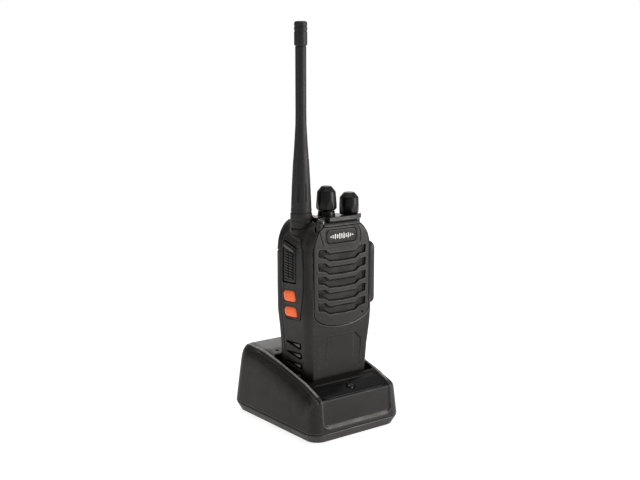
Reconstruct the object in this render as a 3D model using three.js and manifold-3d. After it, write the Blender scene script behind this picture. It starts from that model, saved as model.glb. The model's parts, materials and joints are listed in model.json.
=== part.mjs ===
// Handheld two way radio standing in its drop-in desktop charger.
// Millimetres, +Z up. The origin is the centre of the charger's footprint, on the table.
// The radio's front faces -Y, its press-to-talk side faces -X.
import * as THREE from 'three';
import { mergeVertices } from 'three/addons/utils/BufferGeometryUtils.js';
import Module from 'manifold-3d';

const wasm = await Module();
wasm.setup();

// ---------------------------------------------------------------- driving dimensions
const gap = 0.3;              // air between neighbouring pieces
const caseWall = 2.2;         // front case wall
const seamY = 1.4;            // rear edge of the front case
const backY = 8.1;            // rear face of the battery and of the chassis head
const bodyBottom = 17;
const bodyTop = 134;
const batteryTop = 114.2;
const cornerWide = 3.2;       // elliptical front corner of the body: width, depth
const cornerDeep = 6.5;
const backRadius = 4;         // rear vertical corners

// Body outline: height, half width, front face Y.
const bodyStations = [
  [17, 21.4, -24.1], [18.6, 22.2, -24.9], [36, 22.6, -26], [52, 23.1, -27.2], [66, 24.5, -28.2],
  [76, 25.8, -28.5], [92, 26, -28.5], [114, 26, -28.5], [121, 25.3, -28.5], [126, 23.7, -28.4],
  [130, 21.2, -28.1], [132.7, 18.4, -27.4], [134, 16, -26.4],
];

// Charger outline: height, half width, half depth.
const dockStations = [[0.9, 33.2, 43.6], [6.8, 36, 46], [27, 34.3, 44.2], [47, 32.5, 42.1]];
const dockCorner = 8;
const dockWall = 2.2;
const seamZ = 7;              // joint between the charger's base and its shell
const ridge = [[-60, 10], [-45.4, 25], [-43.6, 27.4], [-41, 28.9], [-28, 34.3], [-15, 38], [0, 41.8],
  [18, 45.3], [36, 46], [41.5, 44.6], [60, 32]];     // top of the charger's side cheeks: Y, height
const deckBackY = -27.6;      // sloping front deck: rear edge, then front edge
const deckBackZ = 35.3;
const deckFrontY = -43.8;
const deckFrontZ = 27.1;
const deckAngle = Math.atan2(deckBackZ - deckFrontZ, deckBackY - deckFrontY);
const cheekX = 27.2;          // inner face of the two side cheeks
const pocketFloor = 15.6;

const antennaX = -17.5;
const antennaY = -9;
const antennaSeat = 130;
const knobY = -14;
const channelX = -1.5;
const volumeX = 16.9;
const torchX = -13;
const torchY = -23.4;
const statusX = 7.6;          // status light
const statusY = -20;
const speakerZ = 96;
const boardY = -12.6;         // front face of the main circuit board
const boardThick = 1.6;
const chassisY = [-6.6, -4.3];

// ---------------------------------------------------------------- materials
const material = (color, roughness, metalness = 0) =>
  new THREE.MeshStandardMaterial({ color, roughness, metalness });
const look = {
  case: material(0x3a3a3b, 0.55), grip: material(0x2b2b2c, 0.8), gloss: material(0x101011, 0.15),
  orange: material(0xff6e30, 0.5), dock: material(0x3c3a39, 0.45), rubber: material(0x232324, 0.85),
  antenna: material(0x414042, 0.7), lens: material(0xdfe8e4, 0.1), board: material(0x1d5a38, 0.5),
  steel: material(0xb9bcc0, 0.35, 1), brass: material(0xd8b25a, 0.3, 1), chip: material(0x19191b, 0.4),
  alloy: material(0x8d9094, 0.5, 1), cell: material(0x6f86a8, 0.5), cone: material(0x2a2724, 0.9),
};

// ---------------------------------------------------------------- solids
function toSolid(geometry) {
  const bare = geometry.clone();
  bare.deleteAttribute('normal');
  bare.deleteAttribute('uv');
  const merged = mergeVertices(bare, 1e-4);
  return new wasm.Manifold(new wasm.Mesh({
    numProp: 3,
    vertProperties: new Float32Array(merged.attributes.position.array),
    triVerts: new Uint32Array(merged.index.array),
  }));
}

function toGeometry(solid) {
  const mesh = solid.getMesh();
  const geometry = new THREE.BufferGeometry();
  geometry.setAttribute('position', new THREE.BufferAttribute(mesh.vertProperties, 3));
  geometry.setIndex(new THREE.BufferAttribute(mesh.triVerts, 1));
  geometry.computeVertexNormals();
  return geometry;
}

const cut = (solid, ...tools) => tools.reduce((left, tool) => left.subtract(tool), solid);
const join = (...solids) => solids.reduce((left, right) => left.add(right));

// A solid through convex rings of equal length; the winding is put right by its volume.
function loft(rings) {
  const count = rings[0].length;
  const corners = rings.flat().flatMap((point) => [point.x, point.y, point.z]);
  const faces = [];
  for (let level = 0; level + 1 < rings.length; level += 1) {
    for (let side = 0; side < count; side += 1) {
      const a = level * count + side;
      const b = level * count + (side + 1) % count;
      faces.push(a, b, b + count, a, b + count, a + count);
    }
  }
  const top = (rings.length - 1) * count;
  for (let side = 1; side + 1 < count; side += 1) {
    faces.push(0, side + 1, side, top, top + side, top + side + 1);
  }
  const at = (index) => new THREE.Vector3().fromArray(corners, index * 3);
  let volume = 0;
  for (let i = 0; i < faces.length; i += 3) {
    volume += at(faces[i]).dot(at(faces[i + 1]).cross(at(faces[i + 2])));
  }
  if (volume < 0) faces.reverse();
  const geometry = new THREE.BufferGeometry();
  geometry.setAttribute('position', new THREE.Float32BufferAttribute(corners, 3));
  geometry.setIndex(faces);
  return toSolid(geometry);
}

// A polygon with every corner rounded by an arc.
function rounded(points, radius, steps = 3) {
  const count = points.length;
  const outline = [];
  points.forEach((point, index) => {
    const here = new THREE.Vector2(...point);
    const before = new THREE.Vector2(...points[(index + count - 1) % count]).sub(here);
    const after = new THREE.Vector2(...points[(index + 1) % count]).sub(here);
    const cosine = before.dot(after) / before.length() / after.length();
    const half = Math.acos(THREE.MathUtils.clamp(cosine, -1, 1)) / 2;
    const reach = Math.min(radius / Math.tan(half), before.length() * 0.49, after.length() * 0.49);
    const start = here.clone().addScaledVector(before.normalize(), reach);
    const end = here.clone().addScaledVector(after.normalize(), reach);
    for (let step = 0; step <= steps; step += 1) {
      const t = step / steps;
      const first = start.clone().lerp(here, t);
      outline.push(first.lerp(here.clone().lerp(end, t), t).toArray());
    }
  });
  return outline;
}

// Turns +Z to the named axis. A prism's (u, v) are (y, z) along x, (x, z) along y, (x, y) along z.
const basis = (x, y, z) =>
  new THREE.Matrix4().makeBasis(new THREE.Vector3(...x), new THREE.Vector3(...y), new THREE.Vector3(...z));
const turnTo = {
  x: basis([0, 1, 0], [0, 0, 1], [1, 0, 0]),
  y: basis([1, 0, 0], [0, 0, 1], [0, -1, 0]),
  z: new THREE.Matrix4(),
};

function prism(axis, points, low, high) {
  const shape = new THREE.Shape(points.map(([u, v]) => new THREE.Vector2(u, v)));
  const geometry = new THREE.ExtrudeGeometry(shape, { depth: high - low, bevelEnabled: false });
  geometry.translate(0, 0, axis === 'y' ? -high : low);
  return toSolid(geometry.applyMatrix4(turnTo[axis]));
}

function box(x0, x1, y0, y1, z0, z1) {
  const geometry = new THREE.BoxGeometry(x1 - x0, y1 - y0, z1 - z0);
  return toSolid(geometry.translate((x0 + x1) / 2, (y0 + y1) / 2, (z0 + z1) / 2));
}

// A disc or cone along one axis, centred on (u, v) as in prism(), from low to high.
function round(axis, u, v, radius, low, high, sides = 20, endRadius = radius) {
  const [lowRadius, highRadius] = axis === 'y' ? [endRadius, radius] : [radius, endRadius];
  const geometry = new THREE.CylinderGeometry(highRadius, lowRadius, high - low, sides);
  geometry.rotateX(Math.PI / 2).translate(u, v, (low + high) / 2 * (axis === 'y' ? -1 : 1));
  return toSolid(geometry.applyMatrix4(turnTo[axis]));
}

function turned(profile, sides) {
  const points = profile.map(([r, z]) => new THREE.Vector2(r, z));
  return toSolid(new THREE.LatheGeometry(points, sides).rotateX(Math.PI / 2));
}

// A counter-clockwise outline moved outwards by a distance.
function grow(points, by) {
  const count = points.length;
  const area = points.reduce((sum, [u, v], i) => {
    const [nextU, nextV] = points[(i + 1) % count];
    return sum + u * nextV - nextU * v;
  }, 0);
  return points.map((point, i) => {
    const here = new THREE.Vector2(...point);
    const before = here.clone().sub(new THREE.Vector2(...points[(i + count - 1) % count])).normalize();
    const after = new THREE.Vector2(...points[(i + 1) % count]).sub(here).normalize();
    const outward = new THREE.Vector2(before.y + after.y, -before.x - after.x).normalize();
    const reach = by * Math.sign(area) / Math.max(outward.dot(new THREE.Vector2(after.y, -after.x)), 0.4);
    return here.addScaledVector(outward, reach).toArray();
  });
}

const mirror = (points) => points.map(([u, v]) => [-u, v]).reverse();
const point3 = (x, y, z) => new THREE.Vector3(x, y, z);

// ---------------------------------------------------------------- scene graph
const group = new THREE.Group();
const radio = new THREE.Group();
const dock = new THREE.Group();
group.add(dock, radio);

function node(parent, name, solid, finish) {
  const mesh = new THREE.Mesh(toGeometry(solid), finish);
  mesh.name = name;
  parent.add(mesh);
  return mesh;
}

function placed(parent, name, solid, finish, x, y, z) {
  node(parent, name, solid, finish).position.set(x, y, z);
}

// ---------------------------------------------------------------- radio body outlines
function station(stations, z) {
  const next = Math.min(Math.max(stations.findIndex(([height]) => height >= z), 1), stations.length - 1);
  const [z0, ...low] = stations[next - 1];
  const [z1, ...high] = stations[next];
  return low.map((value, k) => THREE.MathUtils.lerp(value, high[k], (z - z0) / (z1 - z0)));
}

const heights = (stations, z0, z1) =>
  [z0, ...stations.map(([z]) => z).filter((z) => z > z0 + 0.2 && z < z1 - 0.2), z1];
const frontAt = (z) => station(bodyStations, z)[1];
const widthAt = (z) => station(bodyStations, z)[0];

// Front half of the body, grown by a distance, from z0 to z1 and back to rearY.
function frontBody(by, z0, z1, rearY) {
  return loft(heights(bodyStations, z0, z1).map((z) => {
    const w = widthAt(z) + by;
    const f = frontAt(z) - by;
    const corner = [0, 1, 2, 3, 4].map((step) => (step * Math.PI) / 8);
    const left = corner.map((t) => [-w + cornerWide * (1 - Math.cos(t)), f + cornerDeep * (1 - Math.sin(t))]);
    const right = left.map(([x, y]) => [-x, y]).reverse();
    return [[w, rearY], [-w, rearY], ...left, ...right].map(([x, y]) => point3(x, y, z));
  }));
}

// Rear slice of the body with rounded vertical corners, from z0 to z1.
function rearBody(by, z0, z1, y0, y1) {
  return loft(heights(bodyStations, z0, z1).map((z) => {
    const w = widthAt(z) + by;
    const corner = [0, 1, 2, 3].map((step) => (step * Math.PI) / 6);
    const right = corner.map((t) =>
      [w - backRadius * (1 - Math.cos(t)), y1 - backRadius * (1 - Math.sin(t))]);
    const left = right.map(([x, y]) => [-x, y]).reverse();
    return [[w, y0], ...right, ...left, [-w, y0]].map(([x, y]) => point3(x, y, z));
  }));
}

// ---------------------------------------------------------------- front case
const slotPitch = 8.4;
const slotCount = 5;
const slotTopEdge = [[19, 118.3], [13.4, 117.8], [10.3, 115.4], [0, 115]];
const slotLowEdge = [[0, 110], [10.4, 110.4], [13.8, 112.7], [18.6, 113.4]];
const slotOutline = [...slotTopEdge, ...mirror(slotTopEdge.slice(0, 3)),
  ...mirror(slotLowEdge.slice(1)), ...slotLowEdge];
const slots = Array.from({ length: slotCount }, (_, index) =>
  slotOutline.map(([x, z]) => [x, z - index * slotPitch]));

const fasciaHalf = [[21.3, 122], [19.8, 126.2], [17.6, 129.6], [15.4, 131.6]];
const fasciaArc = [];
for (let step = 0; step <= 16; step += 1) {
  const t = Math.PI + (Math.PI * step) / 16;
  fasciaArc.push([21.9 * Math.cos(t), 78 + 9.4 * Math.sin(t)]);
}
const fasciaOutline = [...fasciaArc, [21.9, 118], ...fasciaHalf, ...mirror(fasciaHalf), [-21.9, 118]];
const fasciaFrontY = -29.1;
const fasciaBackY = -27.5;

// Side panel outlines are (y, z); the keys lean forward towards the bottom.
const bezelOutline = [[-18.2, 72.5], [-20.6, 82], [-21.7, 93], [-21.8, 106], [-21, 118], [-18, 124.2],
  [-4, 127.6], [-0.2, 125], [-0.2, 74], [-1.5, 72.5]].reverse();
const pttOutline = [[-14.2, 96.4], [-1.4, 95.7], [-2, 121.4], [-14.4, 118.2]].reverse();
const upperKey = [[-14.6, 84.2], [-2.9, 83.2], [-1.3, 89.4], [-12.9, 90.4]];
const lowerKey = [[-15.9, 74.4], [-3.6, 73.5], [-2.1, 79.1], [-14.2, 80]];
const jackZ = [101, 89];
const jackY = -16.6;
const coverPin = { x: 28.3, y: -7.2, z0: 78, z1: 118.2 };
const archDepth = 0.8;        // depth of the thumb panel at its arched top
const gripZ = [55.4, 48.7, 42, 35.3];
const gripOutline = [[-0.5, 0.6], [-0.5, 0], [-13.2, -2], [-15.8, -1.9], [-16.8, 0], [-15.6, 1.7]];
const pedestal = [[-8, -25.6], [13, -25.6], [20.4, -21], [22.2, -16], [22.2, -8], [19, -3.2], [-6.9, -3.2],
  [-6.9, -15.4]];

function frontCase() {
  const outer = join(frontBody(0, bodyBottom, bodyTop, seamY),
    prism('z', rounded(pedestal, 2), 120, bodyTop),
    round('z', antennaX, antennaY, 7.4, 108, antennaSeat - gap, 24, 7.1));
  const cavity = frontBody(-caseWall, bodyBottom + 2.4, bodyTop - 4, seamY + 5);
  const belowSkin = frontBody(-0.9, 60, bodyTop, seamY + 3);
  let solid = cut(outer, cavity,
    round('z', antennaX, antennaY, 7.3, antennaSeat - gap, 150, 24),
    round('z', antennaX, antennaY, 4.8, 110, 140),
    round('z', channelX, knobY, 3.4, 120, 140),
    round('z', volumeX, knobY, 3.4, 110, 140),
    round('z', torchX, torchY, 3.1, 120, 140),
    round('z', statusX, statusY, 1.6, 120, 140, 12),
    prism('y', grow(fasciaOutline, gap), -40, fasciaBackY + gap),
    prism('y', rounded([[-17.8, 74], [17.8, 74], [17.8, 119.4], [-17.8, 119.4]], 5), -30, -20),
    prism('x', grow(bezelOutline, gap), -40, -20).subtract(belowSkin),
    prism('x', grow(pttOutline, 1.5), -40, -20),
    prism('x', grow(upperKey, 1.5), -40, -20),
    prism('x', grow(lowerKey, 1.5), -40, -20),
    box(-7.5, 7.5, -6.4, seamY + 1, bodyBottom - 1, bodyBottom + 3),
    ...jackZ.map((z) => round('x', jackY, z, 2.8, 20, 30)));
  const arch = rounded([[-16.5, 30], [16.5, 30], [16.5, 57], [11, 62], [-11, 62], [-16.5, 57]], 4);
  const tilt = loft([[30, 0], [62.5, archDepth]].map(([z, depth]) => [[-20, -40], [20, -40],
    [20, frontAt(z) + depth], [-20, frontAt(z) + depth]].map(([x, y]) => point3(x, y, z))));
  solid = cut(solid, prism('y', arch, -40, -20).intersect(tilt));
  gripZ.forEach((z) => [-1, 1].forEach((side) => {
    const scoop = prism('x', gripOutline.map(([y, dz]) => [y, z + dz]), 0, 40);
    const deep = cut(scoop, frontBody(-0.9, 20, 70, seamY + 3));
    solid = solid.subtract(side < 0 ? deep.mirror([1, 0, 0]) : deep);
  }));
  const lug = (z0, z1) => cut(box(24.6, 29.9, -8.9, -5.5, z0, z1), frontBody(-1.5, 60, bodyTop, seamY),
    round('z', coverPin.x, coverPin.y, 1.1, coverPin.z0, coverPin.z1, 12));
  return join(solid, lug(77.4, 80.6), lug(115.6, 118.8));
}
node(radio, 'front_case', frontCase(), look.case);

const badgeBox = [[-12.4, 121.6], [10.8, 121.6], [10.8, 129.8], [-12.4, 129.8]];

function fascia() {
  const plate = prism('y', fasciaOutline, fasciaFrontY, fasciaBackY);
  const scoops = slots.map((outline) => {
    const low = Math.min(...outline.map(([, z]) => z));
    const high = Math.max(...outline.map(([, z]) => z));
    const ramp = prism('x', [[-31, low - 1], [fasciaFrontY + 0.45, low - 1], [fasciaFrontY + 0.45, low],
      [fasciaFrontY + 2.6, high], [-31, high + 1]].reverse(), -25, 25);
    return prism('y', outline, -31, -26).intersect(ramp);
  });
  const badge = rounded(grow(badgeBox, gap), 2.6);
  return cut(plate, ...scoops, prism('y', badge, -31, fasciaFrontY + 1),
    round('y', 16.4, 74.6, 0.7, -31, -26, 10));
}
node(radio, 'speaker_fascia', fascia(), look.case);
node(radio, 'badge_plate',
  prism('y', rounded(badgeBox, 2.4), fasciaFrontY + 0.2, fasciaFrontY + 0.7), look.gloss);

// ---------------------------------------------------------------- side keys
const innerSkin = frontBody(-0.6, 60, bodyTop, seamY + 3);
const sidePanel = (outline, skin) => prism('x', outline, -40, -20).intersect(skin);
node(radio, 'side_key_panel', cut(sidePanel(bezelOutline, frontBody(0.7, 60, bodyTop, -0.2)), innerSkin,
  prism('x', grow(pttOutline, gap), -40, -20), prism('x', grow(upperKey, gap), -40, -20),
  prism('x', grow(lowerKey, gap), -40, -20)), look.grip);

// A key: cap through the panel, flange behind it, plunger towards its switch.
function sideKey(outline, capX, centre) {
  return join(prism('x', outline, capX, -23.8), prism('x', grow(outline, 0.9), -24.1, -23.5),
    round('x', ...centre, 1.4, -23.8, -23.1, 12));
}
const keyCentres = { ptt: [-9.4, 107], upper: [-9.2, 86.8], lower: [-9.6, 76.8] };
const pttRibs = [];
for (let z = 99; z < 113; z += 2.1) pttRibs.push(box(-27.6, -27, -12.6, -3.2, z, z + 0.9));
const pttBar = prism('x', [[-13.2, 113.4], [-13.2, 115.3], [-3.2, 118], [-3.2, 116.1]].reverse(), -27.9, -27);
node(radio, 'ptt_button', join(sideKey(pttOutline, -27.2, keyCentres.ptt), ...pttRibs, pttBar), look.grip);
node(radio, 'side_key_upper', sideKey(upperKey, -27.6, keyCentres.upper), look.orange);
node(radio, 'side_key_lower', sideKey(lowerKey, -27.4, keyCentres.lower), look.orange);
node(radio, 'side_switch_board', box(-20.6, -19.4, -15.6, -7, 72.6, 118), look.board);
Object.entries(keyCentres).forEach(([name, centre]) =>
  node(radio, `${name}_dome_switch`, round('x', ...centre, 2.2, -21.7, -20.9, 14), look.steel));

// ---------------------------------------------------------------- accessory jacks and cover
node(radio, 'accessory_jack_block', cut(box(14, 23.2, -20.4, -12.9, 84, 106),
  round('x', jackY, jackZ[0], 1.8, 15.5, 30, 12), round('x', jackY, jackZ[1], 1.3, 15.5, 30, 12)), look.chip);

function accessoryCover() {
  const section = rounded([[26.4, -24.7], [29.6, -25], [31, -22.6], [30.7, -9.8], [28.6, -7.2],
    [26.6, -7.2]], 1.6, 2);
  const flap = rounded([[-26, 77.2], [-10, 77.2], [-10, 119.2], [-26, 119.2]], 6);
  const outline = prism('x', flap, 20, 40).add(box(20, 40, -26, -7, 80.9, 115.3));
  const shell = prism('z', section, 77, 119.5).intersect(outline);
  const barrel = round('z', coverPin.x, coverPin.y, 1.9, 80.9, 115.3, 14);
  return cut(shell.add(barrel), box(25, 29.4, -22.6, -10.4, 80.5, 115.7),
    round('z', coverPin.x, coverPin.y, 1.15, 70, 125, 12));
}
node(radio, 'accessory_cover', accessoryCover(), look.case);
node(radio, 'accessory_cover_pin', round('z', coverPin.x, coverPin.y, 0.8, 78, 118.2, 10), look.steel);

// ---------------------------------------------------------------- top controls
const panelOutline = [[-9, -26.7], [13.3, -26.7], [20.9, -21.6], [23, -16], [23, -7.8], [19.4, -2.6],
  [-7, -2.6], [-7, -15.2], [-9, -18.6]];
const lipOutline = [[-9, -26.7], [13.3, -26.7], [20.9, -21.6], [19.9, -20.6], [12.8, -25.2], [-9, -25.2]];
node(radio, 'control_panel', cut(join(prism('z', rounded(panelOutline, 1.6), bodyTop + gap, bodyTop + 1.4),
  prism('z', rounded(lipOutline, 0.5, 1), bodyTop + 1, bodyTop + 3.4)),
  round('z', channelX, knobY, 3.4, 120, 140), round('z', volumeX, knobY, 3.4, 120, 140),
  round('z', volumeX, knobY, 7, bodyTop + 1.4, 150, 24),
  round('z', statusX, statusY, 1.6, 120, 140, 12)), look.gloss);

function control(name, x, x0, x1, bodyZ, shaftTop) {
  const body = join(box(x0, x1, knobY - 5, knobY + 5, bodyZ, bodyZ + 7),
    round('z', x, knobY, 3, bodyZ + 5, bodyTop + 1.8, 16));
  node(radio, name, cut(body, round('z', x, knobY, 1.8, bodyZ + 2, 150, 12)), look.steel);
  node(radio, `${name}_shaft`, round('z', x, knobY, 1.5, bodyZ + 2.3, shaftTop, 12), look.steel);
}
control('channel_switch', channelX, -7, 4, 121, 150);
control('volume_control', volumeX, 12, 20.4, 118.5, 147);

// A fluted knob: a turned blank with scallops round its side and a blind bore for the shaft.
function knob(profile, flutes, bore) {
  const blank = turned([[0, 0], ...profile, [0, profile[profile.length - 1][1]]], 24);
  const height = profile[profile.length - 1][1];
  const scallops = Array.from({ length: flutes }, (_, index) => {
    const angle = ((index + 0.5) * 2 * Math.PI) / flutes;
    const radius = profile[1][0] + 1.5;
    return round('z', radius * Math.cos(angle), radius * Math.sin(angle), 2, 1.2, height * 0.8, 8);
  });
  return cut(blank, ...scallops, round('z', 0, 0, 1.8, -1, bore, 12));
}
placed(radio, 'channel_knob', knob([[5.4, 0], [6.7, 1.4], [5.8, 12], [3, 15.3]], 8, 11), look.gloss,
  channelX, knobY, 140.2);
placed(radio, 'volume_knob', knob([[5.6, 0], [6.5, 1.2], [6.1, 11], [3.3, 14.2]], 8, 11), look.gloss,
  volumeX, knobY, 136.1);

// ---------------------------------------------------------------- antenna
const antennaHeight = 126.5;
const shaftProfile = [[6.6, 0], [6.9, 0.6], [6.9, 9.6], [6.6, 10], [6.5, 13], [6.25, 17], [5.7, 29.6],
  [5, 42], [4.15, 54.5], [3.6, 64], [3.5, 72], [3.5, 111.6]];
const capProfile = [[3.7, 112.2], [4.05, 112.8], [4.05, 125.2], [3.4, 126.5]];
const antennaRod = cut(turned([[0, 0], ...shaftProfile, [0, 111.6]], 24), round('z', 0, 0, 3.3, -1, 8.4, 16));
placed(radio, 'antenna', antennaRod, look.antenna, antennaX, antennaY, antennaSeat);
const antennaTip = turned([[0, 111.9], ...capProfile, [0, antennaHeight]], 24);
placed(radio, 'antenna_cap', antennaTip, look.antenna, antennaX, antennaY, antennaSeat);
node(radio, 'antenna_connector', join(round('z', antennaX, antennaY, 4.5, 119, antennaSeat - 0.6, 16),
  round('z', antennaX, antennaY, 3, antennaSeat - 1, antennaSeat + 8, 16)), look.brass);

// ---------------------------------------------------------------- torch and status light
const lensProfile = [[0, 0], [2.8, 0], [2.8, 3.4], [2.4, 4.6], [1.4, 5.4], [0, 5.7]];
const lampProfile = [[0, 0], [2.4, 0], [2.4, 2], [1.2, 3.2], [0, 3.4]];
placed(radio, 'torch_lens', turned(lensProfile, 16), look.lens, torchX, torchY, 131);
placed(radio, 'torch_lamp', turned(lampProfile, 12), look.lens, torchX, torchY, 127);
node(radio, 'status_light_pipe', round('z', statusX, statusY, 1.2, 126, bodyTop + 1.9, 12), look.lens);

// ---------------------------------------------------------------- inside the radio
const speakerY = -25.6;
const speakerDepth = 4.8;
node(radio, 'speaker_frame', cut(round('y', 0, speakerZ, 17.6, speakerY, speakerY + speakerDepth, 28),
  round('y', 0, speakerZ, 16.4, speakerY - 1, speakerY + speakerDepth - 1, 28),
  round('y', 0, speakerZ, 8.6, speakerY, speakerY + 8, 20)), look.steel);
node(radio, 'speaker_cone', cut(round('y', 0, speakerZ, 16, speakerY + 0.6, speakerY + 3.4, 24, 7),
  round('y', 0, speakerZ, 15.4, speakerY, speakerY + 2.8, 24, 6.4)), look.cone);
node(radio, 'speaker_magnet', round('y', 0, speakerZ, 8.2, speakerY + 3.8, boardY - gap, 20), look.steel);
node(radio, 'microphone', round('y', 16.4, 70, 2.6, -25.4, -22, 14), look.steel);
node(radio, 'main_circuit_board', box(-18.6, 20, boardY, boardY + boardThick, 24, 117.5), look.board);
node(radio, 'radio_shield_can', box(-14, 15, boardY + boardThick + gap, -7.1, 58, 100), look.steel);

function chassis() {
  const [y0, y1] = chassisY;
  const inside = frontBody(-caseWall - 0.4, 20.5, 129, 3).intersect(box(-21.8, 21.8, -40, 40, 0, 200));
  const plate = inside.intersect(box(-40, 40, y0, y1, 0, 129));
  const rails = inside.intersect(box(-40, 40, y0, seamY - gap, 0, 115))
    .subtract(box(-18.9, 18.9, -20, 20, 0, 112.8));
  const head = join(inside.intersect(box(-40, 40, y0, 2.2, batteryTop + 0.6, 129)),
    rearBody(0, batteryTop + 0.4, bodyTop - 0.5, seamY + gap, backY));
  const screwHoles = [-14, 14].map((x) => round('y', x, 110.6, 1.3, -20, 4, 12));
  const clipHoles = [-8, 8].map((x) => round('y', x, 126, 1.3, 4, 20, 12));
  return cut(join(plate, rails, head), round('z', antennaX, antennaY, 5.3, 100, 129.5),
    ...screwHoles, ...clipHoles);
}
node(radio, 'chassis', chassis(), look.alloy);
const chassisScrew = join(round('y', 0, 0, 2, 0, 1.4, 14), round('y', 0, 0, 1, -5, 0.5, 10));
[['left', -14], ['right', 14]].forEach(([side, x]) =>
  placed(radio, `chassis_screw_${side}`, chassisScrew, look.steel, x, chassisY[1] + gap, 110.6));

// ---------------------------------------------------------------- battery
const batteryBottom = bodyBottom + 0.3;
const notch = box(-7.5, 7.5, -10, 4.4, 16, 22);
const contactX = 9;
const contactZ = 26;
node(radio, 'battery_case', cut(rearBody(0, batteryBottom, batteryTop, seamY + gap, backY),
  rearBody(-1.8, batteryBottom + 2.4, batteryTop - 2, 0, backY - 1.6), notch,
  ...[-contactX, contactX].map((x) =>
    box(x - 3.3, x + 3.3, backY - 0.8, 12, contactZ - 3.8, contactZ + 3.8))), look.case);
const coverPlate = rearBody(-2.1, batteryBottom + 2.7, batteryTop - 2.3, seamY + 0.6, 12)
  .intersect(box(-40, 40, 0, seamY + 1.8, 0, 200));
node(radio, 'battery_cover', cut(join(coverPlate, box(-18.4, 18.4, -3.9, seamY + 1, 24, 107.6)),
  box(-17.5, 17.5, -3, 10, 25, 106.7), notch), look.case);
const cellOutline = rounded([[-17, -2.6], [17, -2.6], [17, 6.1], [-17, 6.1]], 3);
node(radio, 'battery_cell', prism('z', cellOutline, 38, 92), look.cell);
node(radio, 'battery_board', box(-15, 15, 2, 3.2, 94.5, 104), look.board);
[['left', -contactX], ['right', contactX]].forEach(([side, x]) => node(radio, `battery_contact_${side}`,
  box(x - 3, x + 3, backY - 0.5, backY - 0.05, contactZ - 3.5, contactZ + 3.5), look.brass));
node(radio, 'battery_latch', join(box(-7, 7, -3.4, 3.6, bodyBottom + 0.2, bodyBottom + 2),
  box(-4, 4, -2, -0.6, bodyBottom + 1.5, bodyBottom + 2.9)), look.grip);

// ---------------------------------------------------------------- charger
function dockBody(by, z0, z1) {
  return loft(heights(dockStations, z0, z1).map((z) => {
    const [halfX, halfY] = station(dockStations, z);
    const ring = [];
    [[1, 1], [-1, 1], [-1, -1], [1, -1]].forEach(([sx, sy], quarter) => {
      for (let step = 0; step <= 5; step += 1) {
        const angle = (quarter + step / 5) * Math.PI / 2;
        ring.push(point3(sx * (halfX + by - dockCorner) + dockCorner * Math.cos(angle),
          sy * (halfY + by - dockCorner) + dockCorner * Math.sin(angle), z));
      }
    });
    return ring;
  }));
}

// Everything under the sloping top, whose long edges are rolled over; lowered by a distance.
const roofEdge = [[42, -16], [35.4, -6], [33.4, -2.6], [31.8, -0.8], [30, 0], [26, 0.9]];
function underRoof(by) {
  const roofLine = [...roofEdge, ...mirror(roofEdge)];
  return loft(ridge.map(([y, z]) => [point3(-42, y, 0), point3(42, y, 0),
    ...roofLine.map(([x, drop]) => point3(x, y, z + drop - by))]));
}

function pocket(by, z0) {
  const levels = [[z0, 23.4, -26.9, backY + 0.7], [27, 23.6, -27.3, backY + 0.9],
    [35, cheekX, -28, backY + 1.7], [60, cheekX, -28, backY + 1.7]];
  return loft(levels.map(([z, w, front, rear]) => rounded([[-w - by, front - by], [w + by, front - by],
    [w + by, rear + by], [-w - by, rear + by]], 3, 3).map(([x, y]) => point3(x, y, z))));
}

const deckPoint = (s, lift) => [deckBackY - s * Math.cos(deckAngle) - lift * Math.sin(deckAngle),
  deckBackZ - s * Math.sin(deckAngle) + lift * Math.cos(deckAngle)];
const windowSpan = [5, 16.6];
const windowHalf = 25.6;
const windowOutline = rounded([[-windowHalf, windowSpan[0]], [windowHalf, windowSpan[0]],
  [windowHalf, windowSpan[1]], [-windowHalf, windowSpan[1]]], 3);
const lampS = 10.4;

// A prism standing on the sloping deck: outline (x, distance down the slope), low and high above it.
function onDeck(outline, low, high) {
  const shape = new THREE.Shape(outline.map(([x, s]) => new THREE.Vector2(x, -s)));
  const geometry = new THREE.ExtrudeGeometry(shape, { depth: high - low, bevelEnabled: false });
  return toSolid(geometry.translate(0, 0, low).rotateX(deckAngle).translate(0, deckBackY, deckBackZ));
}
const deckDisc = (radius, low, high, sides) => onDeck(Array.from({ length: sides }, (_, i) => {
  const angle = (2 * Math.PI * i) / sides;
  return [radius * Math.cos(angle), lampS - radius * Math.sin(angle)];
}), low, high);

const screwSpots = [[-13, -36], [13, -36], [-14, 33], [14, 33]];
const footSpots = [[-24.5, -35], [24.5, -35], [-24.5, 35], [24.5, 35]];
const boardPosts = [[-20, -26], [20, -26], [-20, 24], [20, 24]];
const inletZ = 14;

function dockShell() {
  const outside = dockBody(0, seamZ, 47).intersect(underRoof(0));
  const deckCut = prism('x', [[-60, 19.1], deckPoint(0, 0), [deckBackY, 60], [-60, 60]], -cheekX, cheekX);
  const hollow = dockBody(-dockWall, seamZ - 1, 47).intersect(underRoof(3.4))
    .subtract(pocket(1.8, pocketFloor - 2));
  const bosses = screwSpots.map(([x, y]) =>
    round('z', x, y, 2.8, seamZ + gap, 44, 14).intersect(underRoof(1.5)));
  const shell = join(cut(outside, hollow), ...bosses);
  return cut(shell, deckCut, pocket(0, pocketFloor), onDeck(grow(windowOutline, gap), -1.1, 10),
    deckDisc(2, -12, 3, 16),
    ...screwSpots.map(([x, y]) => round('z', x, y, 1.2, 0, 18, 12)),
    ...[-1, 1].map((side) => round('y', side * contactX, contactZ, 1.7, 8, 13, 14)),
    round('y', 0, inletZ, 4.2, 40, 50, 16));
}
node(dock, 'dock_shell', dockShell(), look.dock);
node(dock, 'dock_window', cut(onDeck(windowOutline, -0.8, 0.1), deckDisc(3.3, -2, 3, 20)), look.gloss);

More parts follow.
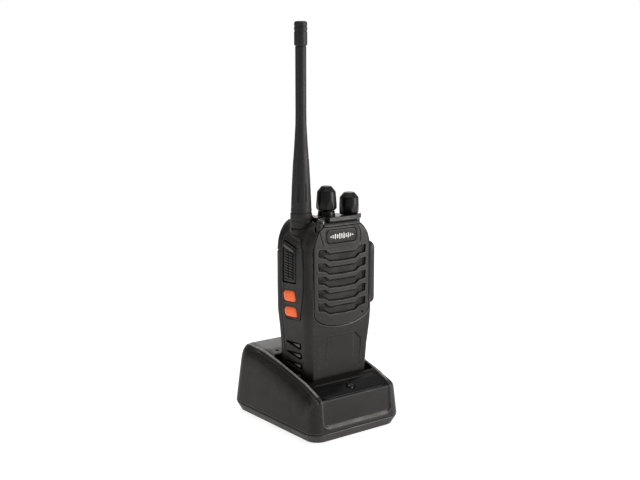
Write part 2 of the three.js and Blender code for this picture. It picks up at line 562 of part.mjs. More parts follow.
function dockBase() {
  const outside = dockBody(0, 0.9, seamZ - gap);
  const tray = dockBody(-dockWall, 2.9, seamZ + 2);
  const posts = boardPosts.map(([x, y]) => round('z', x, y, 2.4, 2, 5.6, 12));
  const screwPosts = screwSpots.map(([x, y]) => round('z', x, y, 3.8, 2, seamZ - gap, 14));
  return cut(join(cut(outside, tray), ...posts, ...screwPosts),
    ...screwSpots.flatMap(([x, y]) => [round('z', x, y, 1.5, 0, 12, 12), round('z', x, y, 2.9, 0, 3.4, 14)]),
    ...footSpots.map(([x, y]) => round('z', x, y, 4.8, 0, 2, 18)));
}
node(dock, 'dock_base', dockBase(), look.dock);
const corners = ['front_left', 'front_right', 'rear_left', 'rear_right'];
const foot = round('z', 0, 0, 4.5, 0, 1.7, 18, 4.4);
const dockScrew = join(round('z', 0, 0, 2.6, 0, 1.6, 14), round('z', 0, 0, 0.9, 1, 12, 10));
corners.forEach((corner, index) => {
  placed(dock, `dock_foot_${corner}`, foot, look.rubber, ...footSpots[index], 0);
  placed(dock, `dock_screw_${corner}`, dockScrew, look.steel, ...screwSpots[index], 1.5);
});
node(dock, 'dock_circuit_board', box(-24, 24, -31, 28.6, 5.9, 7.5), look.board);
node(dock, 'dock_light_pipe', join(deckDisc(2.7, -0.6, 1, 16), deckDisc(1.7, -8, 0, 12)), look.lens);
const inletBody = join(box(-4.5, 4.5, 31, 42.2, 8, 18.6), round('y', 0, inletZ, 3.9, 42, 44.8, 16));
node(dock, 'dock_power_inlet', cut(inletBody, round('y', 0, inletZ, 2.8, 34, 50, 14)), look.chip);
node(dock, 'charging_pin_holder', cut(box(-14, 14, 12.2, 20, 8, 31),
  ...[-1, 1].map((side) => round('y', side * contactX, contactZ, 1.7, 10, 18.4, 14))), look.chip);
[['left', -contactX], ['right', contactX]].forEach(([side, x]) => placed(dock, `charging_pin_${side}`,
  join(round('y', 0, 0, 1.3, 0, 7.2, 12), round('y', 0, 0, 0.8, -0.3, 0.5, 10)), look.brass,
  x, backY + 0.55, contactZ));

export default group;
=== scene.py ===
"""Handheld two way radio standing in its desktop charger: the looks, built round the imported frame.

Shapes are worked out in millimetres as distance fields, so that every moulded edge is rounded and every
groove is cut in the surface itself, and are turned into meshes in metres in the frame's own coordinates.
"""
import json
import math
from functools import reduce

import bpy
import numpy as np
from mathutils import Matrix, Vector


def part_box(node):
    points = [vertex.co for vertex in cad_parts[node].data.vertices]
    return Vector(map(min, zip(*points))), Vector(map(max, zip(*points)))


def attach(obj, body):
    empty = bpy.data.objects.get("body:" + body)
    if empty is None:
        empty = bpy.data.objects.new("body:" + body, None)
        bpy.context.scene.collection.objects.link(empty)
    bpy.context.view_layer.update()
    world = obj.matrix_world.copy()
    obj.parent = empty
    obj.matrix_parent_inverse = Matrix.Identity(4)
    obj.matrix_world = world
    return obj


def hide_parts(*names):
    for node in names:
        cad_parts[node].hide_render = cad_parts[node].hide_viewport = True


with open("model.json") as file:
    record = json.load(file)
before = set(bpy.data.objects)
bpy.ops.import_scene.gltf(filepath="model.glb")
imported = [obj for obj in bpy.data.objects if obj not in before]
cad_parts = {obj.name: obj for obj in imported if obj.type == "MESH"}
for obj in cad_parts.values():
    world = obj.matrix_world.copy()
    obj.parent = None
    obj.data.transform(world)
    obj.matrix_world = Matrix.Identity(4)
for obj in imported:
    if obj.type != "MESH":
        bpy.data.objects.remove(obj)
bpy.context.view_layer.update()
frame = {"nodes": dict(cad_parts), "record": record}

import openvdb
from mathutils import Matrix, Vector

MM = 0.001
COARSE = 1.0      # larger samples while trying things


def extent(node):
    """The low and high corners of a CAD node's box, in millimetres."""
    return [[value / MM for value in corner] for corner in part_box(node)]


# ---------------------------- driving sizes, in millimetres
GAP = 0.3
SEAM_Y = 1.4                             # rear edge of the front case
BACK_Y = extent("battery_case")[1][1]
BODY_TOP = 134.0
BODY_BOTTOM = extent("front_case")[0][2]
BATTERY_TOP = extent("battery_case")[1][2]
BODY_STATIONS = [                        # height, half width, front face
    (17, 21.4, -24.1), (18.6, 22.2, -24.9), (36, 22.6, -26), (52, 23.1, -27.2), (66, 24.5, -28.2),
    (76, 25.8, -28.5), (92, 26, -28.5), (114, 26, -28.5), (121, 25.3, -28.5), (126, 23.7, -28.4),
    (130, 21.2, -28.1), (132.7, 18.4, -27.4), (134, 16, -26.4)]
FASCIA_FRONT = extent("speaker_fascia")[0][1]
FASCIA_BACK = extent("speaker_fascia")[1][1]
BEZEL = [(-18.2, 72.5), (-20.6, 82), (-21.7, 93), (-21.8, 106), (-21, 118), (-18, 124.2), (-4, 127.6),
         (-0.2, 125), (-0.2, 74), (-1.5, 72.5)]
PTT = [(-14.2, 96.4), (-1.4, 95.7), (-2, 121.4), (-14.4, 118.2)]
UPPER_KEY = [(-14.6, 84.2), (-2.9, 83.2), (-1.3, 89.4), (-12.9, 90.4)]
LOWER_KEY = [(-15.9, 74.4), (-3.6, 73.5), (-2.1, 79.1), (-14.2, 80)]
SLOT_COUNT, SLOT_PITCH = 5, 8.4
SLOT = [(19, 118.3), (13.4, 117.8), (10.3, 115.4), (-10.3, 115.4), (-13.4, 117.8), (-19, 118.3),
        (-18.6, 113.4), (-13.8, 112.7), (-10.4, 110.4), (0, 110), (10.4, 110.4), (13.8, 112.7), (18.6, 113.4)]
BADGE = (-12.4, 10.8, 121.6, 129.8)
PEDESTAL = [(-8, -25.6), (13, -25.6), (20.4, -21), (22.2, -16), (22.2, -8), (19, -3.2), (-6.9, -3.2),
            (-6.9, -15.4)]
PANEL = [(-9, -26.7), (13.3, -26.7), (20.9, -21.6), (23, -16), (23, -7.8), (19.4, -2.6), (-7, -2.6),
         (-7, -15.2), (-9, -18.6)]
LIP = [(-9, -26.7), (13.3, -26.7), (20.9, -21.6), (19.9, -20.6), (12.8, -25.2), (-9, -25.2)]
ANTENNA = (-17.5, -9.0)
ANTENNA_SEAT = extent("antenna")[0][2]
CHANNEL, VOLUME = (-1.5, -14.0), (16.9, -14.0)
TORCH, STATUS = (-13.0, -23.4), (7.6, -20.0)
GUARD = (-16.2, -26.2)                   # the small round post in front of the torch
COLLAR_RADIUS, KNOB_HOLE, STEM_RADIUS = 7.3, 3.4, 1.4
KEY_BACK, KEY_STEM, KEY_FLANGE = -23.8, -24.0, (-24.1, -23.5)
JACK_Y, JACK_HEIGHTS, JACK_RADIUS = -16.6, (101, 89), 2.8
HINGE_LUGS = ((77.4, 80.6), (115.6, 118.8))
FRAME_HALF, FRAME_FRONT = 21.6, -6.6
MARK_COUNT, MARK_TURN, MARK_START = 16, math.radians(337.5), math.radians(101)
GRIP_HEIGHTS = (55.4, 48.7, 42, 35.3)
GRIP = [(-0.5, 0.6), (-0.5, 0), (-13.2, -2), (-15.8, -1.9), (-16.8, 0), (-15.6, 1.7)]
COVER_PIN = (28.3, -7.2)
COVER_SECTION = [(24.5, -26.3), (28.7, -25.7), (31, -22.4), (30.7, -9.8), (28.6, -7.2), (26.6, -7.2),
                 (26.4, -23.4)]
FLUTE_RADIUS = 13.0                      # of the long hollow down each front corner
DOCK_STATIONS = [(0.9, 33.2, 43.6), (6.8, 36, 46), (27, 34.3, 44.2), (47, 32.5, 42.1)]
DOCK_CORNER = 8.0
SEAM_Z = 7.0
RIDGE = [(-60, 10), (-45.4, 25), (-43.6, 27.4), (-41, 28.9), (-28, 34.3), (-15, 38), (0, 41.8), (18, 45.3),
         (36, 46), (41.5, 44.6), (60, 32)]
ROOF_EDGE = [(0, 0.9), (26, 0.9), (30, 0), (31.8, -0.8), (33.4, -2.6), (35.4, -6), (42, -16)]
DECK_BACK, DECK_FRONT = (-27.6, 35.3), (-43.8, 27.1)
DECK_ANGLE = math.atan2(DECK_BACK[1] - DECK_FRONT[1], DECK_BACK[0] - DECK_FRONT[0])
CHEEK = 27.2
INNER_RIDGE = 28.35
WINDOW = (-25.6, 25.6, -16.6, -5)        # on the deck: across, and up the slope
LAMP_DOWN = 10.4
POCKET_FLOOR = 15.6
CONTACT = (9.0, 26.0)
SCREWS = [(-13, -36), (13, -36), (-14, 33), (14, 33)]
FEET = [(-24.5, -35), (24.5, -35), (-24.5, 35), (24.5, 35)]
BOARD_POSTS = [(-20, -26), (20, -26), (-20, 24), (20, 24)]


# ---------------------------- distance fields
class Block:
    """Sample points round a box, in millimetres. Distances are negative inside a solid."""

    def __init__(self, low, high, step):
        self.step = step * COARSE
        self.low = np.array(low, float) - 2.5 * self.step
        count = np.ceil((np.array(high, float) - self.low) / self.step).astype(int) + 4
        self.shape = tuple(int(n) for n in count)
        axes = [(self.low[k] + self.step * np.arange(count[k])).astype(np.float32) for k in range(3)]
        self.x, self.y, self.z = axes[0][:, None, None], axes[1][None, :, None], axes[2][None, None, :]


def ease(t):
    """A smooth step from 0 to 1."""
    t = np.clip(t, 0, 1)
    return t * t * (3 - 2 * t)


def join(a, b, blend=0.3):
    """Either solid, with a fillet where they meet."""
    h = np.clip(0.5 + 0.5 * (b - a) / blend, 0, 1)
    return b + (a - b) * h - blend * h * (1 - h)


def both(a, b, blend=0.3):
    """What two solids share, with its new edges rounded."""
    return -join(-a, -b, blend)


def cut(a, *others, blend=0.3):
    """A solid with what the others share taken out of it."""
    return both(a, -meet(*others), blend)


def meet(*fields):
    """What several solids share, with sharp edges."""
    return reduce(np.maximum, fields)


def slab(value, low, high):
    """All that lies between two values."""
    return np.maximum(low - value, value - high)


def stripe(offset, width):
    """One on a line, easing to nothing at a distance from it."""
    return ease(1 - np.abs(offset) / width)


def inset(points, by):
    """An outline moved inwards by a distance."""
    pairs = list(zip(points, points[1:] + points[:1]))
    sign = math.copysign(1, sum(u0 * v1 - u1 * v0 for (u0, v0), (u1, v1) in pairs))
    moved = []
    for k, here in enumerate(points):
        before = Vector(here) - Vector(points[k - 1])
        after = Vector(points[(k + 1) % len(points)]) - Vector(here)
        n0, n1 = (Vector((-e.y, e.x)).normalized() * sign for e in (before, after))
        middle = (n0 + n1).normalized()
        moved.append(tuple(Vector(here) + middle * (by / max(middle.dot(n1), 0.4))))
    return moved


def outline(u, v, points, radius=0.0):
    """Distance to a closed outline whose corners have a radius."""
    points = inset(points, radius) if radius else points
    u, v = np.broadcast_arrays(u, v)
    nearest = np.full(u.shape, 1e9, np.float32)
    inside = np.zeros(u.shape, bool)
    for (u0, v0), (u1, v1) in zip(points, points[1:] + points[:1]):
        du, dv = u1 - u0, v1 - v0
        t = np.clip(((u - u0) * du + (v - v0) * dv) / (du * du + dv * dv), 0, 1)
        nearest = np.minimum(nearest, (u - u0 - du * t) ** 2 + (v - v0 - dv * t) ** 2)
        if dv:
            inside ^= ((v0 > v) != (v1 > v)) & (u < u0 + du * (v - v0) / dv)
    return np.where(inside, -1, 1) * np.sqrt(nearest) - radius


def line(u, v, points):
    """Distance to an open line of points."""
    nearest = np.float32(1e9)
    for (u0, v0), (u1, v1) in zip(points, points[1:]):
        du, dv = u1 - u0, v1 - v0
        t = np.clip(((u - u0) * du + (v - v0) * dv) / (du * du + dv * dv), 0, 1)
        nearest = np.minimum(nearest, (u - u0 - du * t) ** 2 + (v - v0 - dv * t) ** 2)
    return np.sqrt(nearest)


def corner(a, b, radius):
    """The rounded corner between two faces, given the distance past each face."""
    a, b = a + radius, b + radius
    return np.hypot(np.maximum(a, 0), np.maximum(b, 0)) + np.minimum(np.maximum(a, b), 0) - radius


def rectangle(u, v, box, radius=0.0):
    """Distance to a rectangle, given by its limits, whose corners have a radius."""
    u0, u1, v0, v1 = box
    beyond_u, beyond_v = np.abs(u - (u0 + u1) / 2) - (u1 - u0) / 2, np.abs(v - (v0 + v1) / 2) - (v1 - v0) / 2
    return corner(beyond_u, beyond_v, radius)


def disc(u, v, centre, radius):
    """Distance to a circle."""
    return np.hypot(u - centre[0], v - centre[1]) - radius


def smoothed(at, stations, column, blur):
    """A station table read at some heights, with its kinks rounded over a distance."""
    where = [s[0] for s in stations]
    values = [s[column] for s in stations]
    offsets = np.linspace(-blur, blur, 9)
    return sum(np.interp(at + o, where, values) for o in offsets) / len(offsets)


# ---------------------------- meshes
def mark(mesh, name, values):
    """Keep a number for each point, for the materials to read."""
    mesh.attributes.new(name, "FLOAT", "POINT").data.foreach_set("value", values.astype(np.float32))


def mesh_piece(name, points, faces, material, body, nodes, edge=None):
    """One closed smooth mesh, riding on its body and standing for its CAD nodes."""
    mesh = bpy.data.meshes.new(name)
    mesh.vertices.add(len(points))
    mesh.vertices.foreach_set("co", np.asarray(points, np.float32).ravel())
    faces = [f for f in faces if len(f)]
    corners = np.concatenate([f.ravel() for f in faces]).astype(np.int32)
    sizes = np.concatenate([np.full(len(f), f.shape[1]) for f in faces])
    mesh.loops.add(len(corners))
    mesh.loops.foreach_set("vertex_index", corners)
    mesh.polygons.add(len(sizes))
    mesh.polygons.foreach_set("loop_start", np.concatenate([[0], np.cumsum(sizes)[:-1]]).astype(np.int32))
    mesh.update(calc_edges=True)
    mesh.shade_smooth()
    if edge is not None:
        mark(mesh, "edge", edge)
    piece = bpy.data.objects.new(name, mesh)
    bpy.context.scene.collection.objects.link(piece)
    mesh.materials.append(material)
    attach(piece, body)
    if nodes:
        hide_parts(*nodes)
    return piece


def sampled(field, points):
    """A field read between its samples."""
    floor = np.clip(np.floor(points).astype(int), 0, np.array(field.shape) - 2)
    part = (points - floor).astype(np.float32)
    total = np.zeros(len(points), np.float32)
    for a in (0, 1):
        for c in (0, 1):
            for d in (0, 1):
                weight = (part[:, 0] if a else 1 - part[:, 0]) * (part[:, 1] if c else 1 - part[:, 1])
                weight = weight * (part[:, 2] if d else 1 - part[:, 2])
                total += weight * field[floor[:, 0] + a, floor[:, 1] + c, floor[:, 2] + d]
    return total


def surface(name, block, field, material, body, nodes, place=None, merge=0.01, shade=None, glint=0):
    """The skin of a field, with how sharply each point bends outwards, plus any painted highlight, kept as an
    attribute, and any painted shade kept as another.
    """
    field = np.ascontiguousarray(np.broadcast_to(field, block.shape), dtype=np.float32)
    grid = openvdb.FloatGrid(2.0)
    grid.copyFromArray(np.clip(field, -2, 2))
    points, triangles, quads = grid.convertToPolygons(0.0, merge)
    reach = max(1, int(0.6 / block.step))      # samples to look ahead, less than half a wall
    i, j, k = np.clip(np.rint(points).astype(int), reach, np.array(block.shape) - 1 - reach).T
    bend = sum(field[i + a, j + b, k + c] for a, b, c in
               ((reach, 0, 0), (-reach, 0, 0), (0, reach, 0), (0, -reach, 0), (0, 0, reach), (0, 0, -reach)))
    bend = (bend - 6 * field[i, j, k]) / (reach * block.step) ** 2
    places = (points * block.step + block.low) * MM
    if place is not None:
        turn = np.array(place.to_3x3())
        places = places @ turn.T + np.array(place.translation)
    # Painted highlight: the glint is added to the edge attribute, on top of the bend.
    bend = np.clip(bend * 0.45, 0, 0.2) + np.broadcast_to(glint, block.shape)[i, j, k]
    normals = np.stack([sampled(field, points + axis) - sampled(field, points - axis)
                        for axis in 0.7 * np.eye(3, dtype=np.float32)], -1)
    if place is not None:
        normals = normals @ turn.T
    normals /= np.maximum(np.linalg.norm(normals, axis=1, keepdims=True), 1e-6)
    piece = mesh_piece(name, places, [triangles, quads], material, body, nodes, np.clip(bend, 0, 2.2))
    piece.data.normals_split_custom_set_from_vertices(normals)
    # Painted shade, kept for the materials to darken.
    if shade is not None:
        mark(piece.data, "shade", np.broadcast_to(shade, block.shape)[i, j, k])


def fillet(points, radius, steps=4):
    """An open line of points with rounded corners, no stretch longer than half a millimetre."""
    path = [Vector(points[0])]
    for before, here, after in zip(points, points[1:], points[2:]):
        here = Vector(here)
        back, on = Vector(before) - here, Vector(after) - here
        reach = min(radius, back.length * 0.45, on.length * 0.45)
        start, end = here + back.normalized() * reach, here + on.normalized() * reach
        for step in range(steps + 1):
            t = step / steps
            path.append(start.lerp(here, t).lerp(here.lerp(end, t), t))
    path.append(Vector(points[-1]))
    dense = [path[0]]
    for a, b in zip(path, path[1:]):
        count = max(1, int((b - a).length / 0.5))
        dense += [a.lerp(b, (k + 1) / count) for k in range(count)]
    return dense


def turned(name, profile, centre, material, body, nodes, shape=None, count=96, radius=0.4, place=None):
    """A profile of (radius, height) turned round an axis; shape(r, angle, z) may press patterns into it."""
    path = fillet(profile, radius)
    r = np.array([p.x for p in path[1:-1]])[:, None]
    z = np.array([p.y for p in path[1:-1]])[:, None]
    angle = (np.arange(count) * 2 * math.pi / count)[None, :]
    rings = np.broadcast_to(r if shape is None else shape(r, angle, z), (len(r), count))
    skin = np.stack([rings * np.cos(angle), rings * np.sin(angle), np.broadcast_to(z, rings.shape)], -1)
    points = np.vstack([skin.reshape(-1, 3), [[0, 0, path[0].y]], [[0, 0, path[-1].y]]])
    rows = len(r)
    index = np.arange(rows * count).reshape(rows, count)
    right = np.roll(index, -1, axis=1)
    quads = np.stack([index[:-1], right[:-1], right[1:], index[1:]], -1).reshape(-1, 4)
    low = np.stack([right[0], index[0], np.full(count, rows * count)], -1)
    high = np.stack([index[-1], right[-1], np.full(count, rows * count + 1)], -1)
    places = (points + [centre[0], centre[1], 0]) * MM
    if place is not None:
        places = places @ np.array(place.to_3x3()).T + np.array(place.translation)
    return mesh_piece(name, places, [np.vstack([low, high]), quads], material, body, nodes)


# ---------------------------- materials
def shaded(colour, by):
    """A colour made darker or lighter."""
    return tuple(c * by for c in colour)


class Look:
    """A node tree being built, with the few kinds of node that these materials need."""

    def __init__(self, owner, shader="Principled BSDF"):
        owner.use_nodes = True
        self.owner, self.nodes, self.links = owner, owner.node_tree.nodes, owner.node_tree.links
        self.shader = self.nodes[shader]
        self.where = self.node("TexCoord", {}).outputs["Object"]

    def put(self, socket, value):
        """Link a socket to another, or set its constant."""
        if isinstance(value, bpy.types.NodeSocket):
            self.links.new(value, socket)
        else:
            socket.default_value = value

    def node(self, kind, inputs, **settings):
        made = self.nodes.new("ShaderNode" + kind)
        for name, value in settings.items():
            setattr(made, name, value)
        for name, value in inputs.items():
            self.put(made.inputs[name], value)
        return made

    def feed(self, name, value):
        """Link or set one of the shader's own sockets."""
        self.put(self.shader.inputs[name], value)

    def attribute(self, name):
        return self.node("Attribute", {}, attribute_name=name).outputs["Fac"]

    def noise(self, scale, detail=3.0, where=None):
        where = self.where if where is None else where
        return self.node("TexNoise", {"Scale": scale, "Detail": detail, "Vector": where}).outputs["Fac"]

    def spread(self, value, low, high, from_low=0.35, from_high=0.65):
        """A value mapped on to a range."""
        limits = {"From Min": from_low, "From Max": from_high, "To Min": low, "To Max": high}
        return self.node("MapRange", {"Value": value, **limits}).outputs["Result"]

    def mixed(self, amount, first, second):
        """Two colours mixed, each a socket or a constant."""
        mix = self.node("Mix", {"Factor": amount}, data_type="RGBA")
        for socket, colour in zip([s for s in mix.inputs if s.type == "RGBA"], (first, second)):
            self.put(socket, colour if isinstance(colour, bpy.types.NodeSocket) else (*colour, 1))
        return [s for s in mix.outputs if s.type == "RGBA"][0]

    def bump(self, height, strength, distance):
        inputs = {"Strength": strength, "Distance": distance, "Height": height}
        self.feed("Normal", self.node("Bump", inputs).outputs["Normal"])


MATERIALS = {}


def new_look(name):
    """A new material, kept under its name."""
    MATERIALS[name] = bpy.data.materials.new(name)
    return Look(MATERIALS[name])


def plastic(name, colour, roughness, grain=0.25, depth=0.02, wear_and_highlight=0.5, shine=0.5, polish_and_highlight=0.03):
    """Moulded plastic: fine grain of a size in mm, slow tone changes, edges polished by handling and painted
    highlights that lighten it, and painted shade that darkens it.
    """
    look = new_look(name)
    base = look.mixed(look.spread(look.noise(45), 0, 1), shaded(colour, 0.86), shaded(colour, 1.12))
    scuffs = look.spread(look.noise(900, 2), wear_and_highlight * 0.55, wear_and_highlight, 0.3, 0.7)
    # Wear on sharp edges and painted highlights, both kept in the edge attribute, lighten the colour.
    lightening = look.node("Math", {0: look.attribute("edge"), 1: scuffs}, operation="MULTIPLY").outputs[0]
    worn_and_highlit = look.mixed(lightening, base, tuple(min(1, c * 2.5 + polish_and_highlight) for c in colour))
    # Painted shade: where the shade attribute is set, the colour darkens and the surface shines less.
    recess = look.attribute("shade")
    look.feed("Base Color", look.mixed(recess, worn_and_highlit, shaded(colour, 0.12)))
    look.feed("Specular IOR Level", look.spread(recess, shine, shine * 0.45, 0, 1))
    look.feed("Roughness", look.spread(look.noise(120, 4), roughness - 0.05, roughness + 0.06))
    look.bump(look.noise(1 / (grain * MM), 2), 0.35, depth * MM)
    return look.owner


def metal(name, colour, roughness, brushed=0.0):
    """Bare metal, with fine streaks where it is brushed."""
    look = new_look(name)
    look.feed("Metallic", 1.0)
    stretch = look.node("Mapping", {"Vector": look.where, "Scale": (1, 1, 1 + 20 * brushed)})
    streaks = look.noise(1500, 3, stretch.outputs["Vector"])
    look.feed("Base Color", look.mixed(look.spread(look.noise(200), 0, 1), shaded(colour, 0.85), colour))
    look.feed("Roughness", look.spread(streaks, roughness * 0.8, roughness * 1.3))
    look.bump(streaks, 0.2, 0.01 * MM)
    return look.owner


def board(name, colour):
    """Solder mask with a faint pattern of copper tracks under it."""
    look = new_look(name)
    tracks = look.node("TexBrick", {"Scale": 260, "Mortar Size": 0.03, "Vector": look.where}).outputs["Fac"]
    look.feed("Base Color", look.mixed(tracks, colour, shaded(colour, 1.7)))
    look.feed("Roughness", look.spread(look.noise(700), 0.3, 0.45))
    look.bump(tracks, 0.3, 0.02 * MM)
    return look.owner


def lens(name, colour, clear=0.85):
    """Moulded clear plastic, slightly cloudy."""
    look = new_look(name)
    cloud = look.noise(400)
    look.feed("Base Color", look.mixed(look.spread(cloud, 0, 1), shaded(colour, 0.9), colour))
    look.feed("Roughness", look.spread(cloud, 0.04, 0.1))
    look.feed("Transmission Weight", clear)
    look.feed("IOR", 1.49)
    return look.owner


CASE = plastic("case_plastic", (0.018, 0.0165, 0.0155), 0.38, grain=0.28, depth=0.03, wear_and_highlight=0.6, shine=0.36,
               polish_and_highlight=0.2)
DOCK = plastic("dock_plastic", (0.016, 0.0138, 0.0125), 0.33, grain=0.35, wear_and_highlight=0.6, shine=0.34, polish_and_highlight=0.5)
# Painted light: the tray is given a lighter copy of the charger's plastic, so its chamfer looks brighter.
TRAY = plastic("dock_tray_plastic", (0.036, 0.033, 0.030), 0.36, grain=0.35)
GRIPPY = plastic("grip_plastic", (0.022, 0.0215, 0.0215), 0.4, grain=0.25, depth=0.04, wear_and_highlight=0.8, polish_and_highlight=0.12)
GLOSS = plastic("gloss_black", (0.003, 0.003, 0.0033), 0.15, grain=1.2, depth=0.004, wear_and_highlight=0.1, shine=0.3)
KNOB = plastic("knob_black", (0.009, 0.009, 0.0095), 0.3, grain=0.8, depth=0.01, wear_and_highlight=0.2, shine=0.33,
               polish_and_highlight=0.02)
ORANGE = plastic("orange_key", (0.80, 0.115, 0.03), 0.38, grain=0.3, wear_and_highlight=0.25)
RUBBER = plastic("foot_rubber", (0.015, 0.015, 0.015), 0.75, grain=0.4, depth=0.05, wear_and_highlight=0.2)
SLEEVE = plastic("antenna_plastic", (0.020, 0.019, 0.020), 0.5, grain=0.3, depth=0.03, wear_and_highlight=0.3)
BLACK = plastic("moulded_black", (0.004, 0.004, 0.004), 0.6, wear_and_highlight=0.3)
ORANGE_PAINTED_GLOW = ORANGE.node_tree.nodes["Principled BSDF"].inputs      # painted glow: the orange keys give off light of their own, so they look brighter than the lamps make them
ORANGE_PAINTED_GLOW["Emission Color"].default_value = (1.0, 0.17, 0.035, 1)
ORANGE_PAINTED_GLOW["Emission Strength"].default_value = 0.38
WHITE = plastic("mark_white", (0.9, 0.9, 0.89), 0.4, wear_and_highlight=0.0)
plastic("cell_wrap", (0.08, 0.14, 0.28), 0.3, grain=0.8)
plastic("speaker_paper", (0.02, 0.018, 0.016), 0.85, grain=0.15, depth=0.06)
STEEL = metal("steel", (0.55, 0.56, 0.58), 0.28, brushed=1.0)
metal("contact_metal", (0.78, 0.56, 0.24), 0.22)
metal("chassis_alloy", (0.30, 0.31, 0.32), 0.5)
board("circuit_board", (0.012, 0.09, 0.035))
lens("clear_lens", (0.42, 0.50, 0.45))
SMOKED = lens("smoked_lens", (0.05, 0.05, 0.05))
TORCH_GLASS = lens("torch_glass", (0.09, 0.11, 0.10), clear=0.15)
for part in frame["record"]["subparts"]:
    node = frame["nodes"][part["node"]]
    node.data.materials.clear()
    node.data.materials.append(MATERIALS[part["material_slot"]])


# ---------------------------- radio body
def body_field(b, dent=0.0):
    """The radio's outer form in front of its seam: flat sides, fluted front corners, sloping shoulders."""
    half = smoothed(b.z, BODY_STATIONS, 1, 1.2)
    front = smoothed(b.z, BODY_STATIONS, 2, 1.2)
    lean = np.sqrt(1 + np.gradient(half.ravel(), b.step) ** 2)[None, None, :]
    side = (np.abs(b.x) - half) / lean
    face = front + dent - b.y
    across, along = 1.8 + 1.4 * ease((b.z - 62) / 30), 6.4
    chord = np.hypot(across, along)
    deeper = 0.75 * ease((b.z - 82) / 18) * ease((127 - b.z) / 12) * (b.x < 0)
    reach = FLUTE_RADIUS - 0.35 - deeper
    flute = FLUTE_RADIUS - np.hypot(np.abs(b.x) - half + across / 2 - along / chord * reach,
                                    b.y - front - along / 2 + across / chord * reach)
    return both(both(side, flute, 1.4), face, 0.35)


def thumb_panel(b):
    """The shallow arched panel low on the front, deepest at its top."""
    arch = [(-16.5, 22), (16.5, 22), (16.5, 57), (11, 62), (-11, 62), (-16.5, 57)]
    ramp = ease((b.z - 33) / 30)
    inside = ease(0.5 - outline(b.x, b.z, arch, 4) / 0.7)
    raised = ease((10.9 - np.abs(b.x)) / 0.6)
    return (0.75 * inside - 0.3 * inside * raised) * ramp


def grip_scoops(b, solid, body):
    """Tapered finger scoops low on both sides: a raised island inside a deep groove; also painted shade for
    the grooves and a painted highlight for the islands.
    """
    dark = light = np.float32(0)
    for height in GRIP_HEIGHTS:
        shape = outline(b.y, b.z, [(y, height + dz * 1.12) for y, dz in GRIP], 0.5)
        island = ease((-shape - 0.75 - 0.5 * ease((-b.y - 14) / 2)) / 0.35)
        floor = 1.35 - island * (1.2 - 0.32 * np.clip(b.z - height + 0.8, 0, 2))
        solid = cut(solid, shape, -(body + np.clip(floor, 0.1, 1.5)), blend=0.2)
        top = ease((-shape - 0.85 - 1.1 * ease((-b.y - 13.2) / 2.4)) / 0.35)
        # Painted shade in the groove round each island.
        dark = np.maximum(dark, ease(0.6 - shape / 0.5) * (1 - top))
        # Painted highlight on each island, strongest towards its front end.
        light = np.maximum(light, top * ease((-b.y - 5) / 8))
    return solid, dark * (np.abs(b.x) > 18), light * (np.abs(b.x) > 18)


def fascia_outline():
    """An arc below, straight sides, and shoulders that close in above."""
    arc = [(21.9 * math.cos(t), 78 + 9.4 * math.sin(t)) for t in np.linspace(math.pi, 2 * math.pi, 25)]
    side = [(21.3, 122), (19.8, 126.2), (17.6, 129.6), (15.4, 131.6)]
    return [*arc, (21.9, 118), *side, *[(-x, z) for x, z in side[::-1]], (-21.9, 118)]


